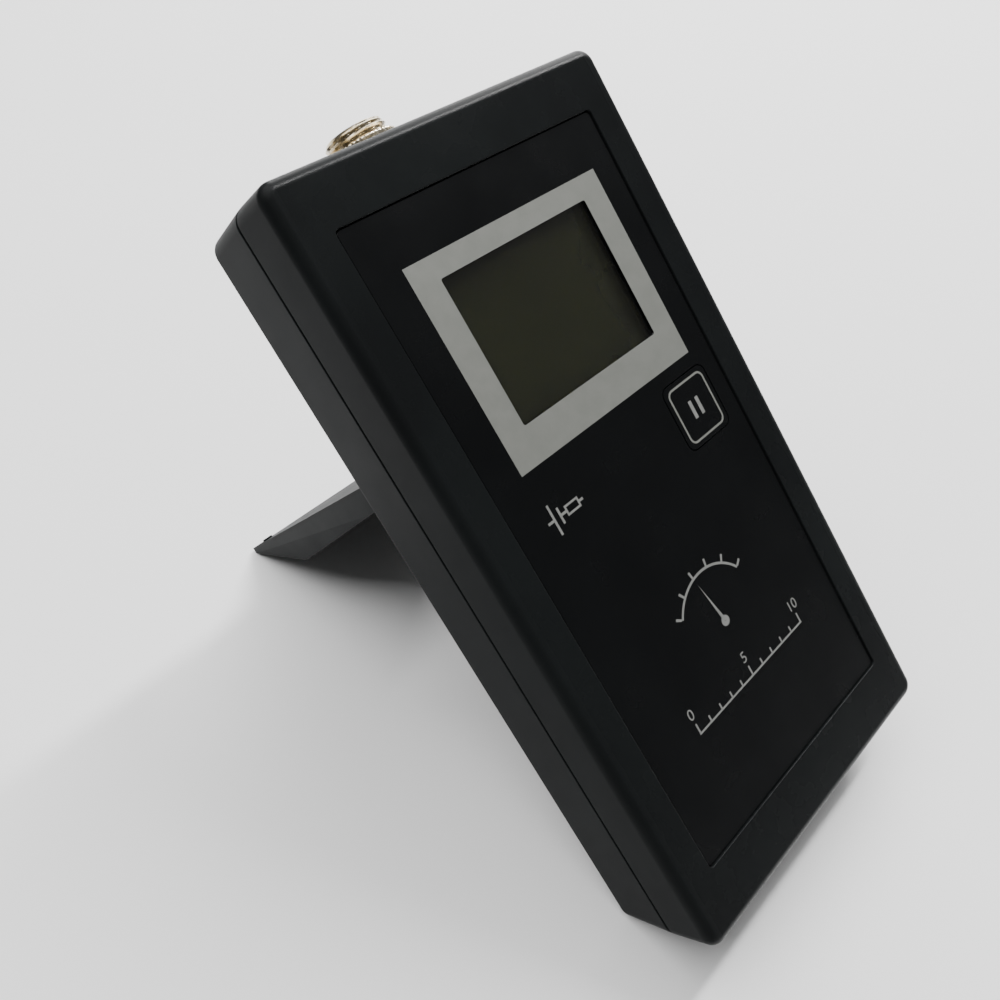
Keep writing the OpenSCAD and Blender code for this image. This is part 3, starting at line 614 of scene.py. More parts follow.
# %% Rear shell and its lip
LIP_SUNK, LIP_OUT, LIP_IN = 2.4, 2.6, 3.8
LIP_SUNK_R, LIP_OUT_R, LIP_IN_R = 2.3, 2.2, 2.0
LIP_FOOT_Z, LIP_TOP_Z, LIP_EDGE, LIP_STEP = 11.5, 16.0, 0.2, 0.02
LIP_GAP_R = 4.5
rear_shell = loft("rear_shell", [
    case_ring(WALL, WALL, INNER_R),
    case_ring(WALL, SEAM_Z, INNER_R),
    case_ring(EDGE, SEAM_Z),
    case_ring(0.0, SEAM_Z - EDGE),
    *rounded_end(SEAM_Z, 0.0, BACK_R),
], abs_black.material)
lip = loft("lip", [
    case_ring(LIP_SUNK, LIP_FOOT_Z, LIP_SUNK_R),
    case_ring(LIP_SUNK, SEAM_Z - LIP_STEP, LIP_SUNK_R),
    case_ring(LIP_OUT, SEAM_Z, LIP_OUT_R),
    case_ring(LIP_OUT, LIP_TOP_Z - LIP_EDGE, LIP_OUT_R),
    case_ring(LIP_OUT + LIP_EDGE, LIP_TOP_Z, LIP_OUT_R),
    case_ring(LIP_IN, LIP_TOP_Z, LIP_IN_R),
    case_ring(LIP_IN, LIP_FOOT_Z, LIP_IN_R),
], None, closed=True)
carve(lip, [rod("gap", LIP_GAP_R, SEAM_Z, LIP_TOP_Z + RUN_OUT, at(p)) for p in POSTS[:2]])

# %% Tub, battery bay and posts
RECESS_HALF, RECESS_FOOT, RECESS_Z, FLOOR_Z = 35.9, 14.1, 9.5, 11.5
STOP_Y, STOP_SLOPE = 104.9236, 0.0787
TUB_HALF, TUB_WALL, TUB_BACK = 38.6, 2, 1
BAY_HALF, BAY_FOOT, BAY_TOP = 22.15, 17.1, 68.0
BAY_WALL, BAY_SINK, BAY_ROOM_Z, BAY_TOP_Z = 1.2, 0.3, 22.6, 23.4
HEAD_POST_Z = 1.2
DOOR_SCREW, DOOR_POST_R, DOOR_POST_Z = (0, 72.2), 2.8, 15.08
tub_top = STOP_Y + STOP_SLOPE * RECESS_Z + TUB_WALL
carve(rear_shell, [
    lip,
    block("tub", (-TUB_HALF, RECESS_FOOT - TUB_WALL, TUB_BACK), (TUB_HALF, tub_top, FLOOR_Z)),
    block("bay", (-BAY_HALF - BAY_WALL, BAY_FOOT - BAY_WALL, RECESS_Z + BAY_SINK),
          (BAY_HALF + BAY_WALL, BAY_TOP + BAY_WALL, BAY_TOP_Z)),
    *[rod("post", POST_R, HEAD_POST_Z, SEAM_Z, at(p)) for p in POSTS[:2]],
    *[rod("post", POST_R, RECESS_Z + SINK, SEAM_Z, at(p)) for p in POSTS[2:]],
    rod("post", DOOR_POST_R, RECESS_Z + SINK, DOOR_POST_Z, at(DOOR_SCREW)),
], "UNION")

# %% The stand's recess
FLARE = 0.25


def recess_ring(z, grow):
    """The stand's recess at a depth. Its upper wall leans like the open stand, which it stops."""
    half, foot = RECESS_HALF + grow, RECESS_FOOT - grow
    top = STOP_Y + STOP_SLOPE * z + grow
    return ring_at([(-half, foot), (half, foot), (half, top), (-half, top)], z)


depths = ((-RUN_OUT, FLARE), (0, FLARE), (FLARE, 0), (RECESS_Z, 0))
carve(rear_shell, [loft("recess", [recess_ring(z, grow) for z, grow in depths], None)])

# %% Bores, door seat and thumb scoop
SCREW_SEAT_Z, HEAD_BORE_R, SHANK_BORE_R = 11.7, 3.1, 1.7
PIN_BORE_R, PIN_REACH = 1.55, 37.8
DOOR_T, DOOR_GAP, DOOR_LAP = 1.15, 0.15, 1.2
TAB_HALF, TAB_H, TAB_LAP = 6.15, 6, 0.1
SCOOP_R, SCOOP_DEPTH, SCOOP_STEPS = 5.0, 2, 32
SCREW_PILOT = 4.2
FLANGE_ROOM_R, FLANGE_ROOM_FOOT, FLANGE_ROOM_TOP = 8.1, -4.8, -3.5
CROSSWISE = Matrix.Rotation(math.pi / 2, 4, "Y")


def head_bore(mouth_z, middle):
    """A screw's stepped bore, flared where it opens."""
    mouth_r, outside, inside = HEAD_BORE_R + FLARE, mouth_z - RUN_OUT, SEAM_Z + RUN_OUT
    profile = [(0, outside), (mouth_r, outside), (mouth_r, mouth_z), (HEAD_BORE_R, mouth_z + FLARE),
               (HEAD_BORE_R, SCREW_SEAT_Z), (SHANK_BORE_R, SCREW_SEAT_Z), (SHANK_BORE_R, inside), (0, inside)]
    return turned("bore", profile, None, BORE_STEPS, at(middle))


half_turn = [math.pi * step / SCOOP_STEPS for step in range(1, SCOOP_STEPS)]
scoop_side = [(SCOOP_R * math.sin(a), -SCOOP_R * math.cos(a)) for a in half_turn]
scoop_profile = [(0, -SCOOP_R), *scoop_side, (0, SCOOP_R)]
scoop_place = Matrix.Translation((0, RECESS_FOOT, SCOOP_DEPTH - SCOOP_R)) @ CROSSWISE
pin_place = Matrix.Translation((0, HINGE_Y, HINGE_Z)) @ CROSSWISE
lap, seat_mouth, seat_floor = DOOR_LAP + DOOR_GAP, RECESS_Z - RUN_OUT, RECESS_Z + DOOR_T
seat_half, seat_foot, seat_top = BAY_HALF + lap, BAY_FOOT - lap, BAY_TOP + lap
carve(rear_shell, [
    block("bay_room", (-BAY_HALF, BAY_FOOT, seat_mouth), (BAY_HALF, BAY_TOP, BAY_ROOM_Z)),
    block("door_seat", (-seat_half, seat_foot, seat_mouth), (seat_half, seat_top, seat_floor)),
    *[head_bore(0, p) for p in POSTS[:2]],
    *[head_bore(RECESS_Z, p) for p in POSTS[2:]],
    turned("scoop", scoop_profile, None, place=scoop_place),
    rod("pin_bore", PIN_BORE_R, -PIN_REACH, PIN_REACH, pin_place),
    rod("passage", PASSAGE_R, FLANGE_ROOM_FOOT, PASSAGE_TOP, SOCKET_WAY),
])
carve(rear_shell, [
    block("tab_seat", (-TAB_HALF, BAY_TOP + DOOR_LAP - TAB_LAP, seat_mouth),
          (TAB_HALF, BAY_TOP + DOOR_LAP + TAB_H + DOOR_GAP, seat_floor)),
    rod("door_bore", PILOT_R, RECESS_Z, RECESS_Z + SCREW_PILOT, at(DOOR_SCREW)),
    rod("flange_room", FLANGE_ROOM_R, FLANGE_ROOM_FOOT, FLANGE_ROOM_TOP, SOCKET_WAY),
])
settle(rear_shell, "case", "rear_cover", slot="case_abs")

# %% [markdown]
# ## Printed film
# The film is a sheet of polyester. A real one is printed from behind, so its ink lies flush. A flat ring with
# an eased rim is enough for the sheet. The prints are thin plates, two hundredths of a millimetre proud of
# it: real shapes stay crisp at any distance, where a painted texture would blur.

# %% Film
FILM_BACK_EDGE, FILM_FACE_EDGE, SIGHT_EDGE = 0.06, 0.08, 0.05
film_rings = [
    plate_ring(FILM, FILM_R, FILM_MID, FILM_BACK_Z, -FILM_BACK_EDGE),
    plate_ring(FILM, FILM_R, FILM_MID, FILM_BACK_Z + FILM_BACK_EDGE),
    plate_ring(FILM, FILM_R, FILM_MID, FILM_FACE_Z - FILM_FACE_EDGE),
    plate_ring(FILM, FILM_R, FILM_MID, FILM_FACE_Z, -FILM_FACE_EDGE),
    plate_ring(WINDOW, WINDOW_R, WINDOW_MID, FILM_FACE_Z, SIGHT_EDGE),
    plate_ring(WINDOW, WINDOW_R, WINDOW_MID, FILM_FACE_Z - SIGHT_EDGE),
    plate_ring(WINDOW, WINDOW_R, WINDOW_MID, FILM_BACK_Z),
]
film_sheet = loft("film_sheet", film_rings, film_black.material, closed=True)
carve(film_sheet, [key_hole(INNER_Z, CASE_D)])
settle(film_sheet, "case", "front_overlay", slot="face_film")

# %% Frame of the display and outline of the key
PRINT_T = 0.02
FRAME, FRAME_R, FRAME_MID = (49.3, 39.7), 0.05, (0.7, 113.75)
KEY_MARK, KEY_MARK_R, KEY_MARK_IN_R, KEY_MARK_LINE = (11.2, 11.8), 1.6, 1.2, 0.425
PRINT_TOP_Z = FILM_FACE_Z + PRINT_T


def print_band(name, outer, inner):
    """A flat printed ring between two outlines, each given as a size, a corner, a middle and a margin."""
    rings = []
    for (size, radius, middle, grow), z in ((outer, FILM_FACE_Z), (outer, PRINT_TOP_Z),
                                            (inner, PRINT_TOP_Z), (inner, FILM_FACE_Z)):
        rings.append(plate_ring(size, radius, middle, z, grow))
    return loft(name, rings, silver_ink.material, closed=True)


display_frame = print_band("display_frame_print", (FRAME, FRAME_R, FRAME_MID, 0.0),
                           (WINDOW, WINDOW_R, WINDOW_MID, SIGHT_EDGE))
settle(display_frame, "case", slot="face_film")
key_outline = print_band("key_outline_print", (KEY_MARK, KEY_MARK_R, KEY_MID, 0.0),
                         (KEY_MARK, KEY_MARK_IN_R, KEY_MID, -KEY_MARK_LINE))
settle(key_outline, "key", slot="face_film")

# %% [markdown]
# ## Display
# Behind the film's window lies a clear pane in a pocket, then foam, then the display's glass. Without power
# the display is a plain dark olive field. The CAD shapes are right here, so only their materials change.

# %% Display looks


def dress(node, finish):
    """Gives a CAD node a finish in place of its plain colour."""
    cover(frame["nodes"][node].data, finish.material)


pane_clear = Finish("pane_clear", Base_Color=(1, 1, 1, 1), Roughness=0.02, Transmission_Weight=1.0, IOR=1.49)
pane_clear.grain(60.0, 1.0, 0.000002)
dress("display_window", pane_clear)
lcd_olive = Finish("lcd_olive", Specular_IOR_Level=0.5)
lcd_olive.colour((0.0220, 0.0240, 0.0080), (0.0200, 0.0220, 0.0072), 90.0)
lcd_olive.gloss(0.16, 0.18, 150.0)
dress("display_glass", lcd_olive)

# %% [markdown]
# ## Lead socket
# The socket is turned brass with a nickel flash, worn warm where the lead is screwed on. Its barrel is spun
# from a profile. A Geometry Nodes recipe then moves the points of the outer wall outwards along a helix:
# the thread. The same idea, with the angle alone, makes the knurl of the ring nut and of the brass inserts.

# %% Turned metal
nickel = Finish("nickel_flash", Metallic=1.0)
nickel.colour((0.80, 0.74, 0.62), (0.62, 0.50, 0.30), 700.0)
nickel.gloss(0.16, 0.30, 900.0)
nickel.grain(4000.0, 2.0, 0.000004)
gold = Finish("gold_flash", Metallic=1.0)
gold.colour((0.95, 0.70, 0.30), (0.80, 0.55, 0.22), 900.0)
gold.gloss(0.18, 0.30, 1200.0)
insulator_look = Finish("insulator", Specular_IOR_Level=0.5)
insulator_look.colour((0.030, 0.028, 0.025), (0.022, 0.021, 0.019), 500.0)
insulator_look.gloss(0.35, 0.5, 800.0)
insulator_look.grain(5000.0, 2.0, 0.00001)

# %% Thread and knurl recipes
FADE_RATE = 4.0  # a thread starts and ends within a quarter of a millimetre
WALL_SLACK, LEAST_REACH = 0.01, 0.001


def radial_recipe(name, helix):
    """Moves the outer wall's points outwards: along a helix, or in ridges round the axis.

    Pitch is the helix's rise per turn. For ridges it is half a turn, in radians, times their count.
    """
    recipe = Recipe(name, Root=float, Depth=float, Pitch=float, Start=float, Length=float,
                    Look=bpy.types.Material)
    maths, values = recipe.maths, recipe.start
    place = recipe.add("GeometryNodeInputPosition")[0]
    x, y, z = recipe.add("ShaderNodeSeparateXYZ", Vector=place)
    reach = maths("SQRT", maths("ADD", maths("MULTIPLY", x, x), maths("MULTIPLY", y, y)))
    turn = maths("DIVIDE", maths("ARCTAN2", y, x), 2 * math.pi)
    along = maths("SUBTRACT", z, values["Start"])
    if helix:
        phase = maths("FRACT", maths("SUBTRACT", maths("DIVIDE", along, values["Pitch"]), turn))
        flank = maths("ABSOLUTE", maths("SUBTRACT", maths("MULTIPLY", phase, 2.0), 1.0))
        wave = maths("SUBTRACT", 1.0, flank)
    else:
        wave = maths("ABSOLUTE", maths("SINE", maths("MULTIPLY", turn, values["Pitch"])))
    ends = maths("MINIMUM", along, maths("SUBTRACT", values["Length"], along))
    fade = recipe.add("ShaderNodeClamp", Value=maths("MULTIPLY", ends, FADE_RATE))[0]
    outer = maths("GREATER_THAN", reach, maths("SUBTRACT", values["Root"], WALL_SLACK))
    push = maths("MULTIPLY", maths("MULTIPLY", wave, fade), maths("MULTIPLY", outer, values["Depth"]))
    share = maths("DIVIDE", push, maths("MAXIMUM", reach, LEAST_REACH))
    out_x, out_y = maths("MULTIPLY", x, share), maths("MULTIPLY", y, share)
    offset = recipe.add("ShaderNodeCombineXYZ", X=out_x, Y=out_y)[0]
    moved = recipe.add("GeometryNodeSetPosition", Geometry=values["Geometry"], Offset=offset)[0]
    return recipe.finish(moved, values["Look"])


def even_rows(radius, start, length, count):
    """Points of an even wall, close enough together to carry a thread or a knurl."""
    return [(radius, start + length * i / count) for i in range(count + 1)]


thread_recipe = radial_recipe("thread", True)
knurl_recipe = radial_recipe("knurl", False)

# %% Barrel of the socket
THREAD_R, THREAD_ROOT, THREAD_PITCH, THREAD_ROWS = 6.0, 5.5, 1.0, 34
SOCKET_RISE, NUT_H, NUT_R = 4.2, 1.6, 7.0
CORE_R, BARREL_R, NECK_R, SHOULDER_Z = 4.65, 5.6, 5.48, -3.0
MOUTH_R, MOUTH_DEPTH, MOUTH_EDGE, BARREL_EDGE = 5.0, 4.0, 0.12, 0.1
FLANGE_Z, FLANGE_T, FLANGE_R, FLANGE_BORE_R, TAIL_Z = -5.0, 2, 7.6, 5.3, -10.5
THREAD_STOP, THREAD_EASE, NUT_CLEAR = 0.35, 0.02, 0.01
thread_length = SOCKET_RISE - THREAD_STOP - NUT_H
mouth_floor = SOCKET_RISE - MOUTH_DEPTH
barrel_profile = [
    (CORE_R, TAIL_Z), (BARREL_R - BARREL_EDGE, TAIL_Z), (BARREL_R, TAIL_Z + BARREL_EDGE),
    (BARREL_R, FLANGE_Z), (BARREL_R, SHOULDER_Z), (NECK_R, SHOULDER_Z), (NECK_R, NUT_H - NUT_CLEAR),
    *even_rows(THREAD_ROOT, NUT_H, thread_length, THREAD_ROWS),
    (THREAD_ROOT - THREAD_EASE, SOCKET_RISE - BARREL_EDGE), (THREAD_ROOT - MOUTH_EDGE, SOCKET_RISE),
    (MOUTH_R + MOUTH_EDGE, SOCKET_RISE), (MOUTH_R, SOCKET_RISE - MOUTH_EDGE),
    (MOUTH_R, mouth_floor), (CORE_R, mouth_floor), (CORE_R, TAIL_Z),
]
barrel = turned("socket_barrel", barrel_profile, nickel.material, steps=144)
thread_recipe.run(barrel, Root=THREAD_ROOT, Depth=THREAD_R - THREAD_ROOT, Pitch=THREAD_PITCH, Start=NUT_H,
                  Length=thread_length, Look=nickel.material)
hexagon = [(FLANGE_R * math.cos(math.pi / 3 * i), FLANGE_R * math.sin(math.pi / 3 * i)) for i in range(6)]
flange = loft("flange", [ring_at(hexagon, FLANGE_Z), ring_at(hexagon, FLANGE_Z + FLANGE_T)], nickel.material)
carve(flange, [rod("bore", FLANGE_BORE_R, FLANGE_Z - RUN_OUT, 0)])
carve(barrel, [flange], "UNION")
barrel.data.transform(SOCKET_WAY)
settle(barrel, "case", "socket_shell", slot="socket_metal")

# %% Ring nut
NUT_BORE_R, NUT_MOUTH_R, NUT_MOUTH_DEPTH = 5.56, 5.75, 0.15
RIDGE_H, RIDGES, NUT_EDGE, NUT_KNURL_IN, NUT_ROWS = 0.14, 48, 0.3, 0.12, 8
nut_profile = [
    (NUT_BORE_R, 0), (NUT_R - NUT_EDGE, 0),
    *even_rows(NUT_R - RIDGE_H, NUT_KNURL_IN, NUT_H - 2 * NUT_KNURL_IN, NUT_ROWS),
    (NUT_R - NUT_EDGE, NUT_H), (NUT_MOUTH_R, NUT_H), (NUT_BORE_R, NUT_H - NUT_MOUTH_DEPTH), (NUT_BORE_R, 0),
]
nut = turned("ring_nut", nut_profile, nickel.material, steps=192)
knurl_recipe.run(nut, Root=NUT_R - RIDGE_H - WALL_SLACK, Depth=RIDGE_H, Pitch=math.pi * RIDGES,
                 Start=0.0, Length=NUT_H, Look=nickel.material)
nut.data.transform(SOCKET_WAY)
settle(nut, "case", "socket_nut", slot="socket_metal")
dress("socket_insulator", insulator_look)
dress("socket_contacts", gold)

# %% [markdown]
# ## Tilt stand
# The stand is a plate with a deep flange down each side, which tapers to nothing at its tip. Its CAD shape
# is right, so a copy is welded, its flat faces are joined again, and a Bevel modifier rounds every edge a
# little.

# %% A welded copy with soft edges
WELD, FLAT_ANGLE = 0.0015, math.radians(1.0)


def soft_copy(node, name, look, width, angle=28, segments=2):
    """A copy of a CAD node with its edges rounded."""
    piece = new_object(name, frame["nodes"][node].data.copy())
    piece.data.transform(room_to_case)
    cover(piece.data, look)
    form = bmesh.new()
    form.from_mesh(piece.data)
    bmesh.ops.remove_doubles(form, verts=form.verts, dist=WELD)
    bmesh.ops.dissolve_limit(form, angle_limit=FLAT_ANGLE, verts=form.verts, edges=form.edges)
    form.to_mesh(piece.data)
    form.free()
    rounding = piece.modifiers.new("Rounding", "BEVEL")
    rounding.width, rounding.segments, rounding.limit_method = width, segments, "ANGLE"
    rounding.angle_limit = math.radians(angle)
    return bake(piece)


stand_leaf = soft_copy("tilt_stand", "stand_leaf", stand_black.material, 0.2, angle=9, segments=3)
settle(stand_leaf, "stand", "tilt_stand", slot="stand_abs")

# %% [markdown]
# ## White marks
# The film carries plain marks in white ink: the drawing symbol of a cell and a resistor, a bare dial, and a
# scale with the numbers 0, 5 and 10. The key has two bars. Each mark is a thin plate of ink, so that it
# stays crisp.

# %% Marks
LINE = 0.5


def prism(points):
    """A flat printed shape."""
    return loft("mark", [ring_at(points, FILM_FACE_Z), ring_at(points, PRINT_TOP_Z)], white_ink.material)


def bar(x, y, width, height):
    """A rectangle from its lower left corner."""
    return prism([(x, y), (x + width, y), (x + width, y + height), (x, y + height)])


def arc(middle, radius, start, end, line=LINE, steps=40):
    """A bent line of even width."""
    angles = [math.radians(start + (end - start) * i / steps) for i in range(steps + 1)]
    outer, inner = ([(middle[0] + reach * math.cos(a), middle[1] + reach * math.sin(a)) for a in angles]
                    for reach in (radius, radius - line))
    return prism(outer + inner[::-1])


# %% Numbers and joined marks


def digits(text, x, y, height):
    """Plain numbers, made into a mesh."""
    letters = bpy.data.curves.new("digits", "FONT")
    letters.body, letters.size, letters.align_x = text, height, "CENTER"
    letters.extrude = PRINT_T / 2
    holder = new_object("digits", letters)
    bpy.context.view_layer.update()
    mesh = bpy.data.meshes.new_from_object(holder.evaluated_get(bpy.context.evaluated_depsgraph_get()))
    bpy.data.objects.remove(holder)
    mesh.transform(Matrix.Translation((x, y, FILM_FACE_Z + PRINT_T / 2)))
    cover(mesh, white_ink.material)
    return tidy_mesh(new_object("digits", mesh))


def join(name, pieces):
    """One mesh from several pieces."""
    form = bmesh.new()
    for piece in pieces:
        form.from_mesh(piece.data)
    mesh = bpy.data.meshes.new(name)
    form.to_mesh(mesh)
    form.free()
    mesh.materials.append(pieces[0].data.materials[0])
    whole = new_object(name, mesh)
    for piece in pieces:
        bpy.data.objects.remove(piece)
    return tidy_mesh(whole, merge=1e-5, turn_out=False)


# %% Cell and resistor
CELL_X, CELL_Y = -24.2, 84.2
WIRE_IN, LONG_PLATE, SHORT_PLATE, PLATE_STEP = 1.4, 6.0, 3.2, 1.6
THIN, BODY_W, BODY_H, WIRE_MID, WIRE_OUT = 0.4, 3.6, 1.2, 1.2, 1.0
short_x = CELL_X + WIRE_IN + PLATE_STEP
body_x = short_x + LINE + WIRE_MID
body_end = body_x + BODY_W
cell_symbol = [
    bar(CELL_X, CELL_Y - LINE / 2, WIRE_IN, LINE),
    bar(CELL_X + WIRE_IN, CELL_Y - LONG_PLATE / 2, LINE, LONG_PLATE),
    bar(short_x, CELL_Y - SHORT_PLATE / 2, LINE, SHORT_PLATE),
    bar(short_x + LINE, CELL_Y - LINE / 2, WIRE_MID, LINE),
    bar(body_x, CELL_Y - BODY_H / 2 - THIN, BODY_W, THIN),
    bar(body_x, CELL_Y + BODY_H / 2, BODY_W, THIN),
    bar(body_x, CELL_Y - BODY_H / 2, THIN, BODY_H),
    bar(body_end - THIN, CELL_Y - BODY_H / 2, THIN, BODY_H),
    bar(body_end, CELL_Y - LINE / 2, WIRE_OUT, LINE),
]
settle(join("cell_symbol_print", cell_symbol), "case", slot="face_film")

# %% Dial
DIAL_MID, DIAL_R, DIAL_START, DIAL_END = (0.5, 46.6), 11.5, 35, 145
HUB_R, HUB_HOLE_R, HUB_TURN = 1.1, 0.1, 359.9  # a hair short of a full turn, so that the ends don't weld
TICK_GAPS, TICK_H, TICK_TURN = 5, 1.5, 1.2
NEEDLE_ANGLE, NEEDLE_FOOT, NEEDLE_TIP, NEEDLE_HALF = math.radians(101), 1.0, 9.6, 0.35
dial = [arc(DIAL_MID, DIAL_R, DIAL_START, DIAL_END), arc(DIAL_MID, HUB_R, 0, HUB_TURN, HUB_R - HUB_HOLE_R)]
for i in range(TICK_GAPS + 1):
    angle = DIAL_START + (DIAL_END - DIAL_START) / TICK_GAPS * i
    dial.append(arc(DIAL_MID, DIAL_R + TICK_H, angle - TICK_TURN, angle + TICK_TURN, TICK_H, 4))
needle_way = Vector((math.cos(NEEDLE_ANGLE), math.sin(NEEDLE_ANGLE)))
half_foot = Vector((needle_way.y, -needle_way.x)) * NEEDLE_HALF
tip, foot = (Vector(DIAL_MID) + needle_way * reach for reach in (NEEDLE_TIP, NEEDLE_FOOT))
dial.append(prism([foot + half_foot, tip, foot - half_foot]))
settle(join("dial_print", dial), "case", slot="face_film")

# %% Scale and key bars
SCALE_X, SCALE_Y, SCALE_STEP, SCALE_END, LONG_EVERY = -18.0, 33.6, 3.6, 10, 5
MARK_H, LONG_MARK_H, DIGIT_H, DIGIT_RISE = 1.2, 2.0, 3.2, 3.4
KEY_BAR, KEY_BAR_OUT = (0.9, 3.8), 1.1
scale = [bar(SCALE_X - LINE / 2, SCALE_Y, SCALE_END * SCALE_STEP + LINE, THIN)]
for i in range(SCALE_END + 1):
    x, long = SCALE_X + i * SCALE_STEP, i % LONG_EVERY == 0
    scale.append(bar(x - THIN / 2, SCALE_Y + THIN, THIN, LONG_MARK_H if long else MARK_H))
    if long:
        scale.append(digits(str(i), x, SCALE_Y + DIGIT_RISE, DIGIT_H))
settle(join("scale_print", scale), "case", slot="face_film")

key_bars = [bar(KEY_MID[0] + x - KEY_BAR[0] / 2, KEY_MID[1] - KEY_BAR[1] / 2, *KEY_BAR)
            for x in (-KEY_BAR_OUT, KEY_BAR_OUT)]
settle(join("key_icon_print", key_bars), "key", slot="face_film")
settle(soft_copy("hold_key", "key_pad", film_black.material, 0.07), "key", "hold_key", slot="face_film")

# %% [markdown]
# ## Small parts that repeat
# Case screws and threaded inserts repeat. One template of each is made, and a Geometry Nodes recipe puts a
# copy at every place. The places are the middles of the CAD solids' feet, so nothing is measured twice.

# %% Copies on places
SOLID_WELD = 0.001
copy_recipe = Recipe("copies", Template=bpy.types.Object, Look=bpy.types.Material)
given = copy_recipe.start
shape = copy_recipe.add("GeometryNodeObjectInfo", Object=given["Template"])["Geometry"]
spread = copy_recipe.add("GeometryNodeInstanceOnPoints", Points=given["Geometry"], Instance=shape)
copy_recipe.finish(spread["Instances"], given["Look"])


def islands(node):
    """The boxes of a CAD node's separate solids, in the case's frame."""
    form = bmesh.new()
    form.from_mesh(frame["nodes"][node].data)
    bmesh.ops.transform(form, matrix=room_to_case, verts=form.verts)
    bmesh.ops.remove_doubles(form, verts=form.verts, dist=SOLID_WELD)
    left, boxes = set(form.verts), []
    while left:
        group, edge = set(), [left.pop()]
        while edge:
            vert = edge.pop()
            group.add(vert)
            for link in vert.link_edges:
                other = link.other_vert(vert)
                if other in left:
                    left.discard(other)
                    edge.append(other)
        points = np.array([v.co for v in group])
        boxes.append((points.min(0), points.max(0)))
    form.free()
    return sorted(boxes, key=lambda box: tuple(np.round(box[0], 2)))


def copies(name, template, places, look, body, *nodes, slot=None):
    """Puts a template at each place and leaves one mesh."""
    cloud = as_piece(name, places, [], look)
    copy_recipe.run(cloud, Template=template, Look=look)
    bpy.data.objects.remove(template)
    return settle(cloud, body, *nodes, slot=slot)


# %% Screw template
PAN_SHARES = ((0, 1), (0.55, 1), (0.85, 0.84), (1, 0.45), (1, 0))
ROOT_SHARE, POINT_SHARE = 0.84, 0.6
LEAD_IN, SCREW_POINT, SCREW_ROWS = 0.4, 1.0, 48
CROSS_DEPTH_SHARE, CROSS_REACH_SHARE, CROSS_HALF_SHARE = 0.7, 0.6, 0.16


def screw(head_r, head_h, shank_r, length, pitch, look):
    """A pan-head screw with a cross recess. Its head's seat is at zero and its tip points up."""
    root, run = shank_r * ROOT_SHARE, length - SCREW_POINT
    pan = [(head_r * across, -head_h * up) for across, up in PAN_SHARES]
    point = [(shank_r * POINT_SHARE, length), (0, length)]
    profile = [*pan, (root, 0), *even_rows(root, LEAD_IN, run, SCREW_ROWS), *point]
    piece = turned("screw", profile, look, steps=32)
    thread_recipe.run(piece, Root=root, Depth=shank_r - root, Pitch=pitch, Start=LEAD_IN, Length=run,
                      Look=look)
    floor_z = head_h * CROSS_DEPTH_SHARE - head_h
    reach, half = head_r * CROSS_REACH_SHARE, head_r * CROSS_HALF_SHARE
    return carve(piece, [block("arm", (-x, -y, -head_h - RUN_OUT), (x, y, floor_z))
                         for x, y in ((reach, half), (half, reach))])


# %% Metal looks
steel = Finish("screw_steel", Metallic=1.0)
steel.colour((0.36, 0.36, 0.37), (0.24, 0.24, 0.25), 1500.0)
steel.gloss(0.24, 0.42, 2600.0)
steel.grain(9000.0, 3.0, 0.000006)
brass = Finish("insert_brass", Metallic=1.0)
brass.colour((0.72, 0.52, 0.22), (0.52, 0.36, 0.14), 900.0)
brass.gloss(0.2, 0.36, 1600.0)
brass.grain(6000.0, 2.0, 0.000006)
spring_look = Finish("spring_steel", Metallic=1.0)
spring_look.colour((0.62, 0.62, 0.60), (0.44, 0.44, 0.43), 1200.0)
spring_look.gloss(0.16, 0.32, 2200.0)
spring_look.grain(12000.0, 2.0, 0.000003)

# %% Case screws


def foot_places(node):
    """Middle of each solid's foot."""
    return [((low[0] + high[0]) / 2, (low[1] + high[1]) / 2, low[2]) for low, high in islands(node)]


HEAD_H, SCREW_R, SCREW_PITCH = 2.0, 1.45, 1.0
screw_low, screw_high = islands("case_screws")[0]
head_r, shank_length = (screw_high[0] - screw_low[0]) / 2, screw_high[2] - screw_low[2] - HEAD_H
case_screw = screw(head_r, HEAD_H, SCREW_R, shank_length, SCREW_PITCH, steel.material)
seats = [(x, y, z + HEAD_H) for x, y, z in foot_places("case_screws")]
copies("case_screw_set", case_screw, seats, steel.material, "case", "case_screws", slot="fastener_steel")

# %% Threaded inserts
INSERT_BORE, INSERT_EDGE, INSERT_END = 1.5, 0.3, 0.4
INSERT_RIDGE_H, INSERT_RIDGES, INSERT_KNURL_IN, INSERT_ROWS = 0.16, 24, 0.5, 12
insert_low, insert_high = islands("case_inserts")[0]
insert_r, insert_h = (insert_high[0] - insert_low[0]) / 2, insert_high[2] - insert_low[2]
insert_profile = [
    (INSERT_BORE, 0), (insert_r - INSERT_END, 0), (insert_r - INSERT_EDGE, INSERT_EDGE),
    *even_rows(insert_r - INSERT_RIDGE_H, INSERT_KNURL_IN, insert_h - 2 * INSERT_KNURL_IN, INSERT_ROWS),
    (insert_r - INSERT_EDGE, insert_h - INSERT_EDGE), (insert_r - INSERT_END, insert_h),
    (INSERT_BORE, insert_h), (INSERT_BORE, 0),
]
insert = turned("insert", insert_profile, brass.material, steps=96)
knurl_recipe.run(insert, Root=insert_r - INSERT_RIDGE_H, Depth=INSERT_RIDGE_H,
                 Pitch=math.pi * INSERT_RIDGES, Start=0.0, Length=insert_h, Look=brass.material)
copies("case_insert_set", insert, foot_places("case_inserts"), brass.material, "case", "case_inserts",
       slot="insert_brass")

# %% [markdown]
# ## Battery door
# The door is a lid with a tab for its screw. Low ribs near its foot give a thumb some grip.

